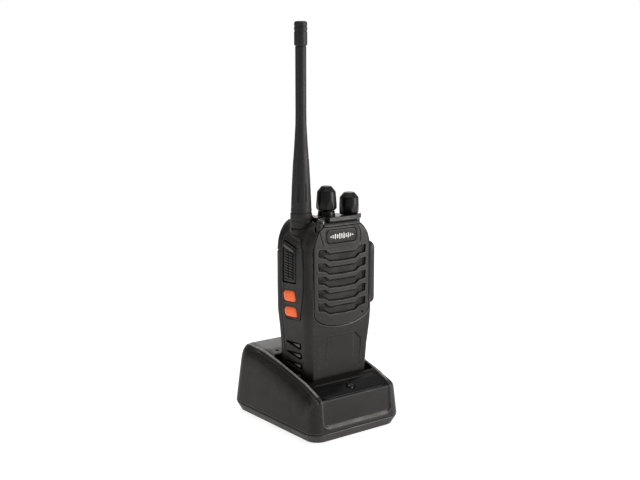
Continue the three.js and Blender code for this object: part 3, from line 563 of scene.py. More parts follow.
def front_case():
    """The front half of the radio's body, with every opening in it."""
    b = Block((-26.5, -29, BODY_BOTTOM), (30.2, SEAM_Y, BODY_TOP + 0.8), 0.34)
    body = body_field(b, thumb_panel(b))
    solid = both(both(body, slab(b.z, BODY_BOTTOM, BODY_TOP), 1.2), b.y - SEAM_Y, 0.5)
    stand = both(outline(b.x, b.y, PEDESTAL, 2), slab(b.z, 118, BODY_TOP), 0.5)
    solid = join(solid, stand, 1.0)
    around = disc(b.x, b.y, ANTENNA, COLLAR_RADIUS)
    solid = join(solid, both(around, slab(b.z, 108, ANTENNA_SEAT - GAP), 0.5), 1.4)
    solid = cut(solid, around, ANTENNA_SEAT - GAP - b.z)
    holes = ((ANTENNA, 4.8), (CHANNEL, KNOB_HOLE), (VOLUME, KNOB_HOLE), (TORCH, 3.1), (STATUS, 1.6))
    for centre, radius in holes:
        solid = cut(solid, disc(b.x, b.y, centre, radius), 110 - b.z, blend=0.25)
    solid = cut(solid, both(disc(b.x, b.y, GUARD, 2.85), 128.6 - b.z, 0.4), blend=0.4)
    guard = both(disc(b.x, b.y, GUARD, 2.1), slab(b.z, 120, BODY_TOP + 0.2), 0.6)
    solid = join(solid, guard, 0.25)
    beside = outline(b.x, b.z, fascia_outline())
    solid = solid - 0.22 * stripe(beside - 0.95, 0.6) * (b.y < -25) * ease((119 - b.z) / 5)
    solid = cut(solid, beside - 0.28 + 0.16 * ease((b.z - 117) / 6), b.y - FASCIA_BACK - GAP, blend=0.35)
    window = both(rectangle(b.x, b.z, (-17.8, 17.8, 74, 119.4), 5), slab(b.y, -30, -20), 0.3)
    solid = cut(solid, window)
    panel = meet(outline(b.y, b.z, BEZEL, 1.0) - 0.14, -(body + 0.9), b.x + 15)
    solid = cut(solid, panel)
    for key in (PTT, UPPER_KEY, LOWER_KEY):
        solid = cut(solid, outline(b.y, b.z, inset(key, -1.5)), b.x + 20)
    for height in JACK_HEIGHTS:
        solid = cut(solid, disc(b.y, b.z, (JACK_Y, height), JACK_RADIUS), 20 - b.x)
    solid, painted_shade, lightening = grip_scoops(b, solid, body)
    solid = cut(solid, body + 2.2, slab(b.z, BODY_BOTTOM + 2.4, BODY_TOP - 4))
    solid = cut(solid, np.abs(b.x) - 7.5, slab(b.y, -6.4, 10), slab(b.z, 0, BODY_BOTTOM + 3))
    for low, high in HINGE_LUGS:
        lug = both(both(rectangle(b.x, b.y, (24.6, 29.9, -8.9, -5.5), 1.2), slab(b.z, low, high), 0.4),
                   -(body + 1.5), 0.3)
        solid = join(solid, cut(lug, disc(b.x, b.y, COVER_PIN, 1.1), blend=0.2), 0.4)
    # Painted highlight on the case's lip round the lower right of the fascia and on the grip islands; painted
    # shade in the grip grooves.
    rim = stripe(beside - 0.75, 0.55) * (b.y < -26)
    surface("case_front", b, solid, CASE, "radio", ["front_case"], shade=painted_shade,
            glint=1.5 * rim * ease((b.x + 4) / 14) * ease((88 - b.z) / 8) + 1.9 * lightening)


front_case()


def slot_field(b):
    """Distance to the nearest louvre, and how far up that louvre each point is."""
    nearest, height = np.float32(1e3), np.float32(0)
    for index in range(SLOT_COUNT):
        drop = index * SLOT_PITCH
        shape = outline(b.x, b.z + drop, SLOT, 0.5)
        climb = np.clip((b.z + drop - 110) / 8.3, 0, 1)
        height = np.where(shape < nearest, climb, height)
        nearest = np.minimum(nearest, shape)
    return nearest, height


def speaker_fascia():
    """The louvred front plate, with a frame for the badge above the louvres."""
    b = Block((-22, FASCIA_FRONT - 0.1, 68.4), (22, FASCIA_BACK, 131.7), 0.18)
    edge = outline(b.x, b.z, fascia_outline(), 0.8)
    crown = 0.5 * (b.x / 22) ** 2 + 0.5 * ease((b.z - 126) / 8) * 0.6
    shape, climb = slot_field(b)
    wall = ease((0.12 - shape) / 0.3)
    floor = 0.55 + climb
    ends = ease((np.abs(b.x) - 12) / 3)
    ridge = 0.28 * ends * np.clip(1 - np.abs(climb - 0.68) / 0.25, 0, 1)
    slit = 0.35 + 1.6 * ease((climb - 0.3) / 0.3) * ease((b.x + 14.2) / 1.2)
    band = 0.75 + 2.6 * ease((b.x - 11.5) / 3)
    depth = wall * np.minimum(floor - ridge + ease((shape + band) / 0.35) * slit, 2.2)
    x0, x1, z0, z1 = BADGE
    badge = rectangle(b.x, b.z, (x0 - GAP, x1 + GAP, z0 - GAP, z1 + GAP), 2.6)
    depth = depth + ease(0.5 - badge / 0.3)
    rim = rectangle(b.x, b.z, (x0 - 1.2, x1 + 1.2, z0 - 1.4, z1 + 1.2), 3.2)
    depth = depth + 0.16 * stripe(rim, 0.4)
    for crease in ([(-19, 133), (-16.6, 125.5), (-15.1, 120.6)], [(11.9, 132), (14.5, 127), (14.2, 120.8)]):
        depth = depth + 0.4 * stripe(line(b.x, b.z, crease), 0.6)
    lift = line(b.x, b.z, [(-10.5, 119.2), (-8, 119.7), (8, 119.9), (11, 120.6)])
    depth = depth - 0.22 * stripe(lift, 0.6)
    plate = meet((FASCIA_FRONT + 0.15 + crown + depth - b.y) * 0.8, b.y - FASCIA_BACK)
    solid = both(plate, edge, 0.6 - 0.4 * ease((b.z - 117) / 6))
    solid = cut(solid, disc(b.x, b.z, (16.4, 74.6), 0.7), blend=0.2)
    # Painted shade over the louvre floors, a little darker towards their tops, and a painted highlight along
    # the bars' edges beside each louvre.
    painted_shade = wall * (0.88 + 0.12 * ease((climb - 0.35) / 0.5))
    painted_lip_highlight = 0.17 * stripe(shape - 0.45, 0.7)
    surface("fascia_louvred", b, solid, CASE, "radio", ["speaker_fascia"], shade=painted_shade,
            glint=painted_lip_highlight)


speaker_fascia()


def dust_gauze():
    """Black woven gauze behind the louvres."""
    b = Block((-17.5, FASCIA_BACK + 0.35, 74.3), (17.5, FASCIA_BACK + 0.8, 119.1), 0.2)
    weave = 0.06 * np.sin(b.x * math.pi) * np.sin(b.z * math.pi)
    sheet = both(rectangle(b.x, b.z, (-17.5, 17.5, 74.3, 119.1), 4.6),
                 slab(b.y, FASCIA_BACK + 0.4 + weave, FASCIA_BACK + 0.75), 0.1)
    surface("dust_gauze", b, sheet, BLACK, "radio", [])


dust_gauze()


def badge():
    """A plain glossy plate with a generic row of level bars."""
    x0, x1, z0, z1 = BADGE
    front = extent("badge_plate")[0][1]
    b = Block((x0, front - 0.3, z0), (x1, front + 0.5, z1), 0.16)
    plate = both(rectangle(b.x, b.z, BADGE, 2.4), slab(b.y, front + 0.12, front + 0.5), 0.25)
    surface("badge_face", b, plate, GLOSS, "radio", ["badge_plate"], merge=0)
    heights = (1.2, 2.2, 3.4, 2.6, 3.8, 3.0, 3.8, 2.4, 3.4, 2.2, 1.2)
    middle_z, half_width, pitch = 125.7, 0.55, 1.72
    marks = np.float32(1e3)
    for index, height in enumerate(heights):
        x = (x0 + x1) / 2 + (index - (len(heights) - 1) / 2) * pitch
        limits = (x - half_width, x + half_width, middle_z - height / 2, middle_z + height / 2)
        marks = np.minimum(marks, rectangle(b.x, b.z, limits, 0.45))
    bars = both(marks, slab(b.y, front - 0.08, front + 0.2), 0.15)
    surface("badge_bars", b, bars, WHITE, "radio", [], merge=0)


badge()


# ---------------------------- side keys
def side_panel():
    """The panel round the side keys."""
    b = Block((-26.8, -22.2, 72), (-23, 0.2, 128), 0.22)
    body = body_field(b)
    rim = outline(b.y, b.z, BEZEL, 1.2)
    proud = 0.55 - 0.35 * ease((-rim - 1.0) / 0.5)
    solid = both(both(body - proud, -(body + 0.6), 0.2), rim, 0.4)
    for key, margin in ((PTT, 0.75), (UPPER_KEY, 0.3), (LOWER_KEY, 0.3)):
        solid = cut(solid, outline(b.y, b.z, inset(key, -margin), 1.2 if key is PTT else 2.2), blend=0.35)
        raised = stripe(outline(b.y, b.z, inset(key, -margin - 0.5), 0.9), 0.5)
        solid = solid - 0.14 * raised * (body > -0.4)
    surface("key_panel", b, solid, CASE, "radio", ["side_key_panel"])


side_panel()


def press_to_talk():
    """The talk key: rows of staggered grip blocks under a slanted bar."""
    low, high = extent("ptt_button")
    b = Block((low[0], -15, 95), (high[0], -1, 122), 0.16)
    crown = 0.35 * ((b.y + 8) / 6) ** 2
    face = -26.3 + crown * 0.6
    cap = both(outline(b.y, b.z, PTT, 1.0), face - b.x, 0.5)
    tops = np.float32(1e3)
    for row in range(10):
        z = 98.2 + row * 1.7
        for column, y in enumerate((-10.3, -6.0)):
            up = b.z - 0.2 * (b.y - y) - 0.3 * column
            tops = np.minimum(tops, rectangle(b.y, up, (y - 1.85, y + 1.85, z, z + 1.0), 0.3))
    bar = outline(b.y, b.z, [(-13.2, 115.3), (-13.2, 117.0), (-2.9, 119.9), (-2.9, 118.2)], 0.4)
    strip = rectangle(b.y, b.z, (-13.6, -12.9, 97.5, 113.4), 0.3)
    raised = np.minimum(np.minimum(tops, bar), strip)
    cap = join(cap, meet(both(tops, face - 0.65 - b.x, 0.25), b.x + 26), 0.15)
    cap = join(cap, meet(both(bar, face - 0.95 - b.x, 0.4), b.x + 26), 0.2)
    cap = join(cap, meet(both(strip, face - 0.35 - b.x, 0.3), b.x + 26), 0.2)
    # Painted shade in the gaps between the grip blocks and over the parts behind the cap's face; painted
    # highlight on the slanted bar.
    painted_shade = ease(0.5 + raised / 0.3) * (outline(b.y, b.z, PTT, 1.0) < -0.8) + ease((b.x + 26.2) / 0.4)
    stem = meet(disc(b.y, b.z, (-9.4, 107), STEM_RADIUS), slab(b.x, KEY_STEM, high[0]))
    flange = meet(outline(b.y, b.z, inset(PTT, -0.9), 0.5), slab(b.x, *KEY_FLANGE))
    solid = join(join(meet(cap, b.x - KEY_BACK), flange, 0.2), stem, 0.2)
    surface("talk_key", b, solid, GRIPPY, "ptt", ["ptt_button"],
            shade=np.clip(painted_shade, 0, 1), glint=ease(0.6 - bar / 0.3))


press_to_talk()


def orange_key(name, node, body, key):
    """A pillowed key whose face falls away towards its rim."""
    low, high = extent(node)
    y, z = zip(*key)
    b = Block((low[0], min(y) - 1.2, min(z) - 1.2), (high[0], max(y) + 1.2, max(z) + 1.2), 0.15)
    rim = outline(b.y, b.z, key, 2.1)
    pillow = low[0] + 0.65 + 0.4 * ease(1 + (rim + 0.2) / 2.2) ** 2
    cap = meet(both(rim, (pillow - b.x) * 0.9, 0.55), b.x - KEY_BACK)
    flange = meet(outline(b.y, b.z, inset(key, -0.9), 0.8), slab(b.x, *KEY_FLANGE))
    stem = meet(disc(b.y, b.z, (sum(y) / 4, sum(z) / 4), STEM_RADIUS), slab(b.x, KEY_STEM, high[0]))
    solid = join(join(cap, flange, 0.2), stem, 0.2)
    surface(name, b, solid, ORANGE, body, [node], merge=0)


orange_key("key_upper", "side_key_upper", "upper_key", UPPER_KEY)
orange_key("key_lower", "side_key_lower", "lower_key", LOWER_KEY)


# ---------------------------- jack cover
def jack_cover():
    """The hollow flap over the jacks, wrapping round the front corner."""
    b = Block((24.3, -26.6, 76.8), (31.2, -5, 119.6), 0.2)
    section = outline(b.x, b.y, COVER_SECTION, 0.8)
    flap = rectangle(b.y, b.z, (-26.5, -10, 77.2, 119.2), 6)
    flap = np.minimum(flap, rectangle(b.y, b.z, (-26, -7, 80.9, 115.3), 0.5))
    solid = both(section, flap, 1.5)
    ends = (b.x - 31) * 0.88 + (np.abs(b.z - 98.2) - 15.5) * 0.47
    solid = both(solid, ends, 1.5)
    barrel = both(disc(b.x, b.y, COVER_PIN, 1.9), slab(b.z, 80.9, 115.3), 0.3)
    solid = join(solid, barrel, 0.5)
    hollow = both(rectangle(b.x, b.y, (20, 29.4, -22.6, -10.4), 0.6), slab(b.z, 81.5, 114.7), 0.4)
    solid = cut(solid, hollow)
    solid = cut(solid, disc(b.x, b.y, COVER_PIN, 1.15), blend=0.15)
    for y in (-21.6, -20.2, -18.8):
        solid = cut(solid, disc(b.y, b.x, (y, 31.15), 0.42), np.abs(b.z - 98) - 8, blend=0.2)
    surface("jack_cover_flap", b, solid, CASE, "jack_cover", ["accessory_cover"])


jack_cover()


# ---------------------------- top controls
def control_plate():
    """The glossy panel on top, its lip, the boss under the channel knob and the channel marks."""
    b = Block((-12.8, -27, BODY_TOP), (23.2, -2.4, BODY_TOP + 6.2), 0.2)
    plate = both(outline(b.x, b.y, PANEL, 1.6), slab(b.z, BODY_TOP + GAP, BODY_TOP + 1.4), 0.35)
    lip = both(outline(b.x, b.y, LIP, 0.5), slab(b.z, BODY_TOP + 0.6, BODY_TOP + 3.4), 0.6)
    solid = join(plate, lip, 0.5)
    bridge = both(rectangle(b.x, b.y, (-12.5, -6, -19.5, -3.4), 1.5),
                  slab(b.z, BODY_TOP + GAP, BODY_TOP + 2.6), 0.6)
    solid = join(solid, cut(bridge, disc(b.x, b.y, ANTENNA, 7.7), blend=0.4), 0.5)
    hub = extent("channel_knob")[0][2] - 0.4
    skirt = disc(b.x, b.y, CHANNEL, 6.0 - 0.12 * (b.z - BODY_TOP))
    solid = join(solid, both(skirt, slab(b.z, BODY_TOP + 0.6, hub), 0.4), 0.8)
    for centre in (CHANNEL, VOLUME):
        ring = np.abs(disc(b.x, b.y, centre, 4.4)) - 0.45
        solid = join(solid, both(ring, slab(b.z, BODY_TOP + 0.8, BODY_TOP + 1.75), 0.3), 0.3)
        solid = cut(solid, disc(b.x, b.y, centre, KNOB_HOLE), blend=0.2)
    solid = cut(solid, disc(b.x, b.y, VOLUME, 7), BODY_TOP + 1.6 - b.z, blend=0.2)
    solid = cut(solid, disc(b.x, b.y, STATUS, 1.6), blend=0.2)
    for index in range(MARK_COUNT):
        angle = MARK_START + MARK_TURN * index / MARK_COUNT
        dot = (CHANNEL[0] + 7.9 * math.cos(angle), CHANNEL[1] + 7.9 * math.sin(angle))
        solid = cut(solid, disc(b.x, b.y, dot, 0.4), BODY_TOP + 1.2 - b.z, blend=0.15)
    surface("control_plate", b, solid, KNOB, "radio", ["control_panel"])


control_plate()


def knob(name, node, body, centre, profile, facets, phase):
    """A tapered knob with long planed facets round its side and short ones round its crown."""
    base = extent(node)[0][2]
    height = profile[-1][1]
    pitch = 2 * math.pi / facets

    def planed(r, angle, z):
        near = (angle + phase + pitch / 2) % pitch - pitch / 2
        widest = max(p[0] for p in profile)
        long_face = (widest * 0.89 + widest * 0.12 * np.clip(z / (0.78 * height), 0, 1.4)) / np.cos(near)
        offset = (angle + phase + pitch) % pitch - pitch / 2
        crown = (widest * 0.98 - 0.95 * np.clip(z - 0.76 * height, 0, None)) / np.cos(offset)
        outer = np.minimum(np.minimum(r, long_face), crown)
        return np.where(r > widest * 0.45, np.maximum(outer, widest * 0.4), r)

    points = [(0, 0.0), *profile, (profile[-1][0] * 0.8, height - 0.15), (0, height - 0.3)]
    points = [(r, z + base) for r, z in points]
    piece = turned(name, points, centre, KNOB, body, [node],
                   shape=lambda r, angle, z: planed(r, angle, z - base), count=192, radius=0.35)
    # Painted shade on the crown: its top is darkened and shines less.
    mark(piece.data, "shade", np.array([v.co.z > (base + height - 0.45) * MM for v in piece.data.vertices]))


knob("knob_channel", "channel_knob", "channel", CHANNEL,
     [(5.4, 0), (6.7, 1.4), (5.9, 11.8), (3.1, 15.3)], 8, 0.25)
knob("knob_volume", "volume_knob", "volume", VOLUME,
     [(5.6, 0), (6.5, 1.2), (6.1, 10.9), (3.4, 14.2)], 8, 0.05)


# ---------------------------- antenna
ANTENNA_PROFILE = [
    (0, 0), (6.6, 0), (6.9, 0.6), (6.9, 9.3), (6.3, 9.5), (6.3, 9.9), (6.6, 10.2), (6.25, 17), (5.7, 29.6),
    (5, 42), (4.15, 54.5), (3.6, 64), (3.5, 72), (3.5, 111.6), (0, 111.6)]


def antenna_skin(r, angle, z):
    """A ring line on the collar, eight short slots, and a scalloped edge where the sleeve is moulded over."""
    up = z - ANTENNA_SEAT
    r = r - 0.3 * stripe(up - 5.2, 0.5)
    pitch = 2 * math.pi / 8
    near = ((angle + 0.15 + pitch / 2) % pitch - pitch / 2) * r
    slot = ease((0.55 - np.abs(near)) / 0.35) * ease((up - 16.4) / 0.8) * ease((29.6 - up) / 3)
    bead = ease(1 - np.hypot(near, up - 16.1) / 0.8)
    edge = 41.2 + 1.7 * np.abs(np.sin(angle * 4 + 0.6))
    over = ease((edge - up) / 0.5) * ease((up - 12) / 3)
    return r - 0.55 * slot + 0.16 * bead * (r > 3) - 0.1 + 0.1 * over * (r > 3) + 0.1 * (up < 12)


turned("antenna_sleeve", [(r, z + ANTENNA_SEAT) for r, z in ANTENNA_PROFILE], ANTENNA, SLEEVE, "aerial",
       ["antenna"], shape=antenna_skin, count=160, radius=0.5)
CAP_PROFILE = [
    (0, 111.67), (3.44, 111.67), (3.44, 112.1), (3.8, 112.1), (4.05, 112.4), (4.05, 120.1), (3.75, 120.4),
    (3.75, 120.9), (4.05, 121.1), (4.05, 123.1), (3.8, 123.3), (3.8, 123.7), (4.05, 123.9), (4.0, 125.6),
    (3.2, 126.5), (0, 126.5)]
turned("antenna_tip", [(r, z + ANTENNA_SEAT) for r, z in CAP_PROFILE], ANTENNA, SLEEVE, "aerial",
       ["antenna_cap"], count=96, radius=0.3)


# ---------------------------- torch and status light
def torch():
    """A domed window over a dark reflector."""
    low, high = extent("torch_lens")
    base, top = low[2], high[2]
    profile = [(0, base), (2.8, base), (2.8, base + 3.2), (2.45, base + 4.5), (1.5, base + 5.35), (0, top)]
    turned("torch_dome", profile, TORCH, TORCH_GLASS, "radio", ["torch_lens"], count=64)
    base = extent("torch_lamp")[0][2]
    profile = [(0, base), (2.4, base), (2.4, base + 2), (1.5, base + 3.0), (0, base + 3.4)]
    turned("torch_reflector", profile, TORCH, BLACK, "radio", ["torch_lamp"], count=48)


torch()


# ---------------------------- battery and chassis
def rear_field(b, bottom, top):
    """The radio's outer form behind its seam."""
    half = smoothed(b.z, BODY_STATIONS, 1, 1.2)
    sides = corner(np.abs(b.x) - half, b.y - BACK_Y, 4.0)
    return both(both(sides, slab(b.z, bottom, top), 0.7), SEAM_Y + GAP - b.y, 0.35)


def battery():
    """The battery pack's case, with its label recess, ribs and contact windows."""
    low, high = extent("battery_case")
    b = Block(low, high, 0.3)
    solid = rear_field(b, low[2], high[2])
    label = rectangle(b.x, b.z, (-17.5, 17.5, 44, 92), 2.5)
    solid = cut(solid, label, BACK_Y - 0.35 - b.y, blend=0.25)
    for index in range(6):
        rib = rectangle(b.x, b.z, (-15, 15, 97.2 + 2.5 * index, 98.3 + 2.5 * index), 0.5)
        solid = cut(solid, rib, BACK_Y - 0.7 - b.y)
    for side in (-1, 1):
        pad = rectangle(b.x - side * CONTACT[0], b.z - CONTACT[1], (-3.3, 3.3, -3.8, 3.8), 0.6)
        solid = cut(solid, pad, BACK_Y - 0.8 - b.y, blend=0.2)
    inner = both(np.abs(b.x) - 20, meet(slab(b.z, 20, BATTERY_TOP - 2), b.y - BACK_Y + 1.7), 0.5)
    solid = cut(solid, inner)
    solid = cut(solid, np.abs(b.x) - 7.5, b.y - 4.4, b.z - 22)
    surface("battery_shell", b, solid, CASE, "radio", ["battery_case"])


battery()


def clip_head():
    """The alloy frame's painted head above the battery, where a belt clip would be screwed on."""
    low, high = extent("chassis")
    b = Block((low[0], -7, low[2]), high, 0.32)
    core = meet(body_field(b) + 2.8, np.abs(b.x) - FRAME_HALF, FRAME_FRONT - b.y)
    plate = meet(core, b.y + 4.3, slab(b.z, 20.5, 129))
    rails = meet(core, b.y - SEAM_Y + GAP, slab(b.z, 20.5, 115), 18.9 - np.abs(b.x))
    head = both(rear_field(b, BATTERY_TOP + 0.4, BODY_TOP + 2), b.z - 133.5, 1.2)
    neck = meet(core, b.y - 2.2, slab(b.z, BATTERY_TOP + 0.6, 129))
    solid = join(join(join(plate, rails, 0.3), neck, 0.3), head, 0.3)
    seat = rectangle(b.x, b.z, (-12.5, 12.5, 119.5, 130.5), 2)
    solid = cut(solid, np.abs(seat) - 0.3, BACK_Y - 0.5 - b.y, blend=0.2)
    for x in (-8, 8):
        solid = cut(solid, disc(b.x, b.z, (x, 126), 1.3), 4 - b.y, blend=0.25)
    for x in (-14, 14):
        solid = cut(solid, disc(b.x, b.z, (x, 110.6), 1.3), b.y - 4, blend=0.25)
    solid = cut(solid, disc(b.x, b.y, ANTENNA, 5.3), slab(b.z, 100, 129.5), blend=0.25)
    surface("frame_head", b, solid, CASE, "radio", ["chassis"])


clip_head()


# ---------------------------- charger
def dock_field(b):
    """The charger's walls."""
    half_x = smoothed(b.z, DOCK_STATIONS, 1, 0.8)
    half_y = smoothed(b.z, DOCK_STATIONS, 2, 0.8)
    return corner(np.abs(b.x) - half_x, np.abs(b.y) - half_y, DOCK_CORNER)


def roof_field(b):
    """Under the roof: rising to the back, with rolled long edges and a groove beside each inner ridge."""
    ridge = smoothed(b.y, RIDGE, 1, 2.0)
    out = np.abs(b.x)
    edge = smoothed(out, ROOF_EDGE, 1, 1.2)
    front_part = ease((30 - b.y) / 14)
    edge = edge - stripe(out - 29.55, 0.8) * front_part + 0.45 * stripe(out - INNER_RIDGE, 0.6)
    slope_y = np.gradient(ridge.ravel(), b.step)[None, :, None]
    slope_x = np.gradient(smoothed(out, ROOF_EDGE, 1, 1.2).ravel(), b.step)[:, None, None]
    return (b.z - ridge - edge) / np.sqrt(1 + slope_y ** 2 + slope_x ** 2)


def pocket_field(b, by=0.0):
    """The pocket for the radio, wider in its upper part, and larger by a distance."""
    levels = [(POCKET_FLOOR, 23.4, -26.9, BACK_Y + 0.7), (27, 23.6, -27.3, BACK_Y + 0.9),
              (35, CHEEK, -28, BACK_Y + 1.7), (60, CHEEK, -28, BACK_Y + 1.7)]
    half, front, rear = (smoothed(b.z, levels, column, 1.0) for column in (1, 2, 3))
    return corner(np.abs(b.x) - half - by, np.abs(b.y - (front + rear) / 2) - (rear - front) / 2 - by, 3)


def dock_shell():
    """The charger's upper shell: cheeks and back, sloping deck and pocket."""
    b = Block((-36.2, -46.2, SEAM_Z), (36.2, 46.2, 47.2), 0.38)
    walls = dock_field(b)
    roof = roof_field(b)
    inset_panel = ease(0.5 - rectangle(b.x, b.z, (-27, 27, 10.5, 60), 4.5) / 2.2) * ease((-b.y - 30) / 5)
    solid = both(both(walls + 0.75 * inset_panel, roof, 1.1 + 4.4 * ease((b.y + 42) / 8)), SEAM_Z - b.z, 0.25)
    ahead = DECK_BACK[0] - b.y
    deck = (DECK_BACK[1] - ahead * math.tan(DECK_ANGLE) - b.z) * math.cos(DECK_ANGLE)
    well = meet(deck, -ahead - 0.3, np.abs(b.x) - CHEEK)
    solid = cut(solid, well, blend=0.5)
    solid = cut(solid, pocket_field(b), POCKET_FLOOR - b.z, blend=0.7)
    down = ahead * math.cos(DECK_ANGLE) + (DECK_BACK[1] - b.z) * math.sin(DECK_ANGLE)
    x0, x1, up0, up1 = WINDOW
    window = both(rectangle(b.x, down, (x0 - GAP, x1 + GAP, -up1 - GAP, -up0 + GAP), 3.2), deck - 1.1, 0.3)
    solid = cut(solid, window, blend=0.25)
    solid = cut(solid, disc(b.x, down, (0, LAMP_DOWN), 2), deck - 12, blend=0.2)
    under = -deck - 50 * (ahead < -1.5)      # under the deck, or anywhere behind it
    solid = cut(solid, walls + 2.2, roof + 3.4, -pocket_field(b, 1.8), under - 3.4, blend=0.4)
    for at in SCREWS:
        boss = meet(disc(b.x, b.y, at, 2.8), SEAM_Z + GAP - b.z, roof + 2, under - 1.5)
        solid = join(solid, boss, 0.5)
        solid = cut(solid, disc(b.x, b.y, at, 1.2), b.z - 18, blend=0.15)
    for side in (-1, 1):
        hole = disc(b.x, b.z, (side * CONTACT[0], CONTACT[1]), 1.7)
        solid = cut(solid, hole, slab(b.y, 7, 13), blend=0.2)
    solid = cut(solid, disc(b.x, b.z, (0, 14), 4.2), 40 - b.y)
    for x in (-20.6, 20.6):
        solid = cut(solid, np.sqrt((b.x - x) ** 2 + (b.y - 14) ** 2 + (b.z - 46) ** 2) - 1.3, blend=0.2)
    # Painted highlight along each inner ridge; painted shade over the sloping deck in front of the pocket and
    # over the cheeks' tops outside the ridges.
    crest = ease(1.15 - np.abs(np.abs(b.x) - INNER_RIDGE) / 0.8) * (roof > -1.2) * (walls < -3)
    painted_deck_shade = 0.85 * (np.abs(b.x) < CHEEK - 0.3) * (deck < 0.5) * (deck > -1.6) * (b.y > -44.5) * (b.y < -26)
    painted_roof_shade = 0.35 * ease((roof + 1.4) / 0.8) * ease((np.abs(b.x) - 29.3) / 0.8) * ease((-walls - 1) / 2)
    surface("charger_shell", b, solid, DOCK, "dock", ["dock_shell"], shade=painted_deck_shade + painted_roof_shade,
            glint=1.7 * crest)


dock_shell()


def dock_base():
    """The tray under the charger, with bosses, foot seats and vents."""
    low, high = extent("dock_base")
    b = Block((-36.2, -46.2, low[2]), (36.2, 46.2, high[2]), 0.4)
    walls = dock_field(b)
    solid = both(walls, slab(b.z, low[2], high[2]), 0.3)
    solid = cut(solid, both(walls + 2.2, 2.9 - b.z, 0.5), blend=0.4)
    for at in SCREWS:
        solid = join(solid, meet(disc(b.x, b.y, at, 3.8), slab(b.z, 2, high[2])), 0.4)
        solid = cut(solid, disc(b.x, b.y, at, 1.5), blend=0.2)
        solid = cut(solid, disc(b.x, b.y, at, 2.9), b.z - 3.4, blend=0.25)
    for at in BOARD_POSTS:
        solid = join(solid, meet(disc(b.x, b.y, at, 2.4), slab(b.z, 2, 5.6)), 0.4)
    for at in FEET:
        solid = cut(solid, disc(b.x, b.y, at, 4.8), b.z - 2, blend=0.2)
    label = rectangle(b.x, b.y, (-15, 15, -12, 12), 2)
    solid = cut(solid, label, b.z - low[2] - 0.3, blend=0.2)
    for index in range(5):
        vent = rectangle(b.x, b.y, (-9, 9, 16 + 2.6 * index, 17.2 + 2.6 * index), 0.5)
        solid = cut(solid, vent, blend=0.25)
    surface("charger_base", b, solid, TRAY, "dock", ["dock_base"])


dock_base()

DECK_PLACE = Matrix.Translation(Vector((0, *DECK_BACK)) * MM) @ Matrix.Rotation(DECK_ANGLE, 4, "X")


def deck_window():
    """The glossy window, in its own coordinates: across, up the slope and off the deck."""
    x0, x1, y0, y1 = WINDOW
    b = Block((x0, y0, -0.8), (x1, y1, 0.15), 0.2)
    crown = 0.1 - 0.25 * ease((np.abs(b.y + 10.8) - 3.5) / 2.3)
    pane = both(rectangle(b.x, b.y, WINDOW, 3), meet(-0.8 - b.z, b.z - crown), 0.25)
    pane = cut(pane, disc(b.x, b.y, (0, -LAMP_DOWN), 3.3), blend=0.35)
    surface("charger_window", b, pane, GLOSS, "dock", ["dock_window"], place=DECK_PLACE)
    profile = [(0, -7.9), (1.7, -7.9), (1.7, -0.6), (2.7, -0.6), (2.7, 0.2), (1.9, 0.75), (0, 1.0)]
    turned("charger_lamp", profile, (0, -LAMP_DOWN), SMOKED, "dock", ["dock_light_pipe"],
           count=64, place=DECK_PLACE)


deck_window()


def foot(name, node, centre):
    """A rubber foot."""
    profile = [(0, 0.5), (2.6, 0.5), (2.9, 0.0), (4.3, 0.0), (4.5, 0.4), (4.4, 1.7), (0, 1.7)]
    turned(name, profile, centre, RUBBER, "dock", [node], count=48, radius=0.25)


def screw(name, node, centre, head, shank, base, length):
    """A pan-head screw seen from below, with a cross recess and a threaded shank."""
    b = Block((-head, -head, 0), (head, head, 1.7), 0.12)
    cap = both(disc(b.x, b.y, (0, 0), head), slab(b.z, 0, 1.6), 0.4)
    arm = (-1.5, 1.5, -0.32, 0.32)
    cross = np.minimum(rectangle(b.x, b.y, arm, 0.15), rectangle(b.y, b.x, arm, 0.15))
    cap = cut(cap, cross, b.z - 0.9, blend=0.12)
    move = Matrix.Translation(Vector((*centre, base)) * MM)
    surface(name, b, cap, STEEL, "dock", [node], place=move, merge=0)
    profile = [(0, 1.5), (shank * 0.8, 1.5), (shank, 2.2), (shank, length - 1.5), (0.2, length), (0, length)]

    def threaded(r, angle, z):
        return np.where(r > 0.5, r - 0.14 * (0.5 + 0.5 * np.sin(angle - z * 2 * math.pi)), r)

    turned(name + "_thread", profile, (0, 0), STEEL, "dock", [], threaded, 24, 0.2, move)


for side, foot_at, screw_at in zip(("front_left", "front_right", "rear_left", "rear_right"), FEET, SCREWS):
    foot("foot_" + side, "dock_foot_" + side, foot_at)
    screw("screw_" + side, "dock_screw_" + side, screw_at, head=2.6, shank=0.9, base=1.5, length=12)

# ---------------------------- stage, lights and camera
VIEW_TURN, VIEW_RISE = math.radians(37.4), math.radians(9.8)
VIEW_POINT = Vector((0.0047, 0.0007, 0.1183))
VIEW_DISTANCE = 0.65
WARM = (1.0, 0.955, 0.91)
LIT_POINT = Vector((0, 0, 0.11))
BRIGHT_SIDE = Vector((0.62, 0.12, 0.78))
SOFTBOXES = [                            # name, size, power, place
    ("top_softbox", (0.7, 0.7), 1.7, (0.05, 0.1, 0.85)),
    ("front_softbox", (0.35, 0.8), 5.8, (0.6, -0.75, 0.3)),
    ("left_softbox", (0.25, 0.6), 0.4, (-0.75, 0.1, 0.3)),
    ("back_softbox", (0.6, 0.5), 1.1, (0.5, 0.7, 0.4))]


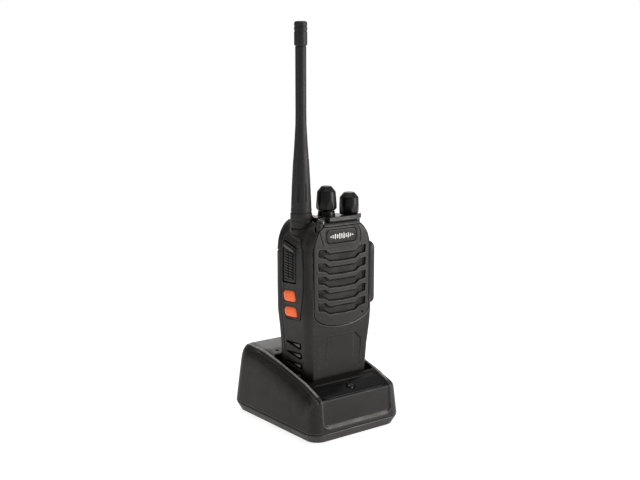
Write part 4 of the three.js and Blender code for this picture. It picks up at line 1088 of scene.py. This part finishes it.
def stage():
    """A pale floor that looks as bright as the background."""
    bpy.ops.mesh.primitive_plane_add(size=8)
    floor = bpy.context.object
    floor.name = "floor"
    look = new_look("pale_floor")
    look.feed("Base Color", (0.6, 0.59, 0.575, 1))
    look.feed("Emission Color", (1, 1, 1, 1))
    seen = look.node("LightPath", {}).outputs["Is Camera Ray"]
    look.feed("Emission Strength", look.spread(seen, 0.45, 0.85, 0, 1))
    look.feed("Roughness", look.spread(look.noise(30), 0.85, 0.95))
    floor.data.materials.append(look.owner)


def area_light(name, size, power, place):
    """A soft box aimed at the middle of the radio."""
    data = bpy.data.lights.new(name, "AREA")
    data.shape = "RECTANGLE"
    data.size, data.size_y = size
    data.energy = power
    data.color = WARM
    light = bpy.data.objects.new(name, data)
    light.location = place
    light.rotation_euler = (LIT_POINT - Vector(place)).to_track_quat("-Z", "Y").to_euler()
    bpy.context.scene.collection.objects.link(light)


def studio():
    """A white background that lights the object from above its right side, and four soft boxes."""
    scene = bpy.context.scene
    scene.view_settings.view_transform = "Standard"
    scene.world = bpy.data.worlds.new("studio")
    look = Look(scene.world, "Background")
    look.feed("Color", (1, 1, 1, 1))
    look.feed("Strength", 1.0)
    way = look.where.node.outputs["Generated"]
    near = look.node("VectorMath", {0: way, 1: BRIGHT_SIDE.normalized()}, operation="DOT_PRODUCT")
    given = look.node("Background", {"Strength": look.spread(near.outputs["Value"], 0.06, 0.48, -0.3, 0.95)})
    seen = look.node("LightPath", {}).outputs["Is Camera Ray"]
    mix = look.node("MixShader", {0: seen, 1: given.outputs[0], 2: look.shader.outputs[0]})
    look.put(look.nodes["World Output"].inputs["Surface"], mix.outputs[0])
    for softbox in SOFTBOXES:
        area_light(*softbox)


def camera():
    """The main view: from the front, to the radio's left."""
    data = bpy.data.cameras.new("camera")
    data.sensor_width = 36
    data.lens = 56.25
    eye = bpy.data.objects.new("camera", data)
    back = Vector((-math.sin(VIEW_TURN) * math.cos(VIEW_RISE), -math.cos(VIEW_TURN) * math.cos(VIEW_RISE),
                   math.sin(VIEW_RISE)))
    eye.location = VIEW_POINT + back * VIEW_DISTANCE
    eye.rotation_euler = (-back).to_track_quat("-Z", "Y").to_euler()
    bpy.context.scene.collection.objects.link(eye)
    bpy.context.scene.camera = eye


stage()
studio()
camera()
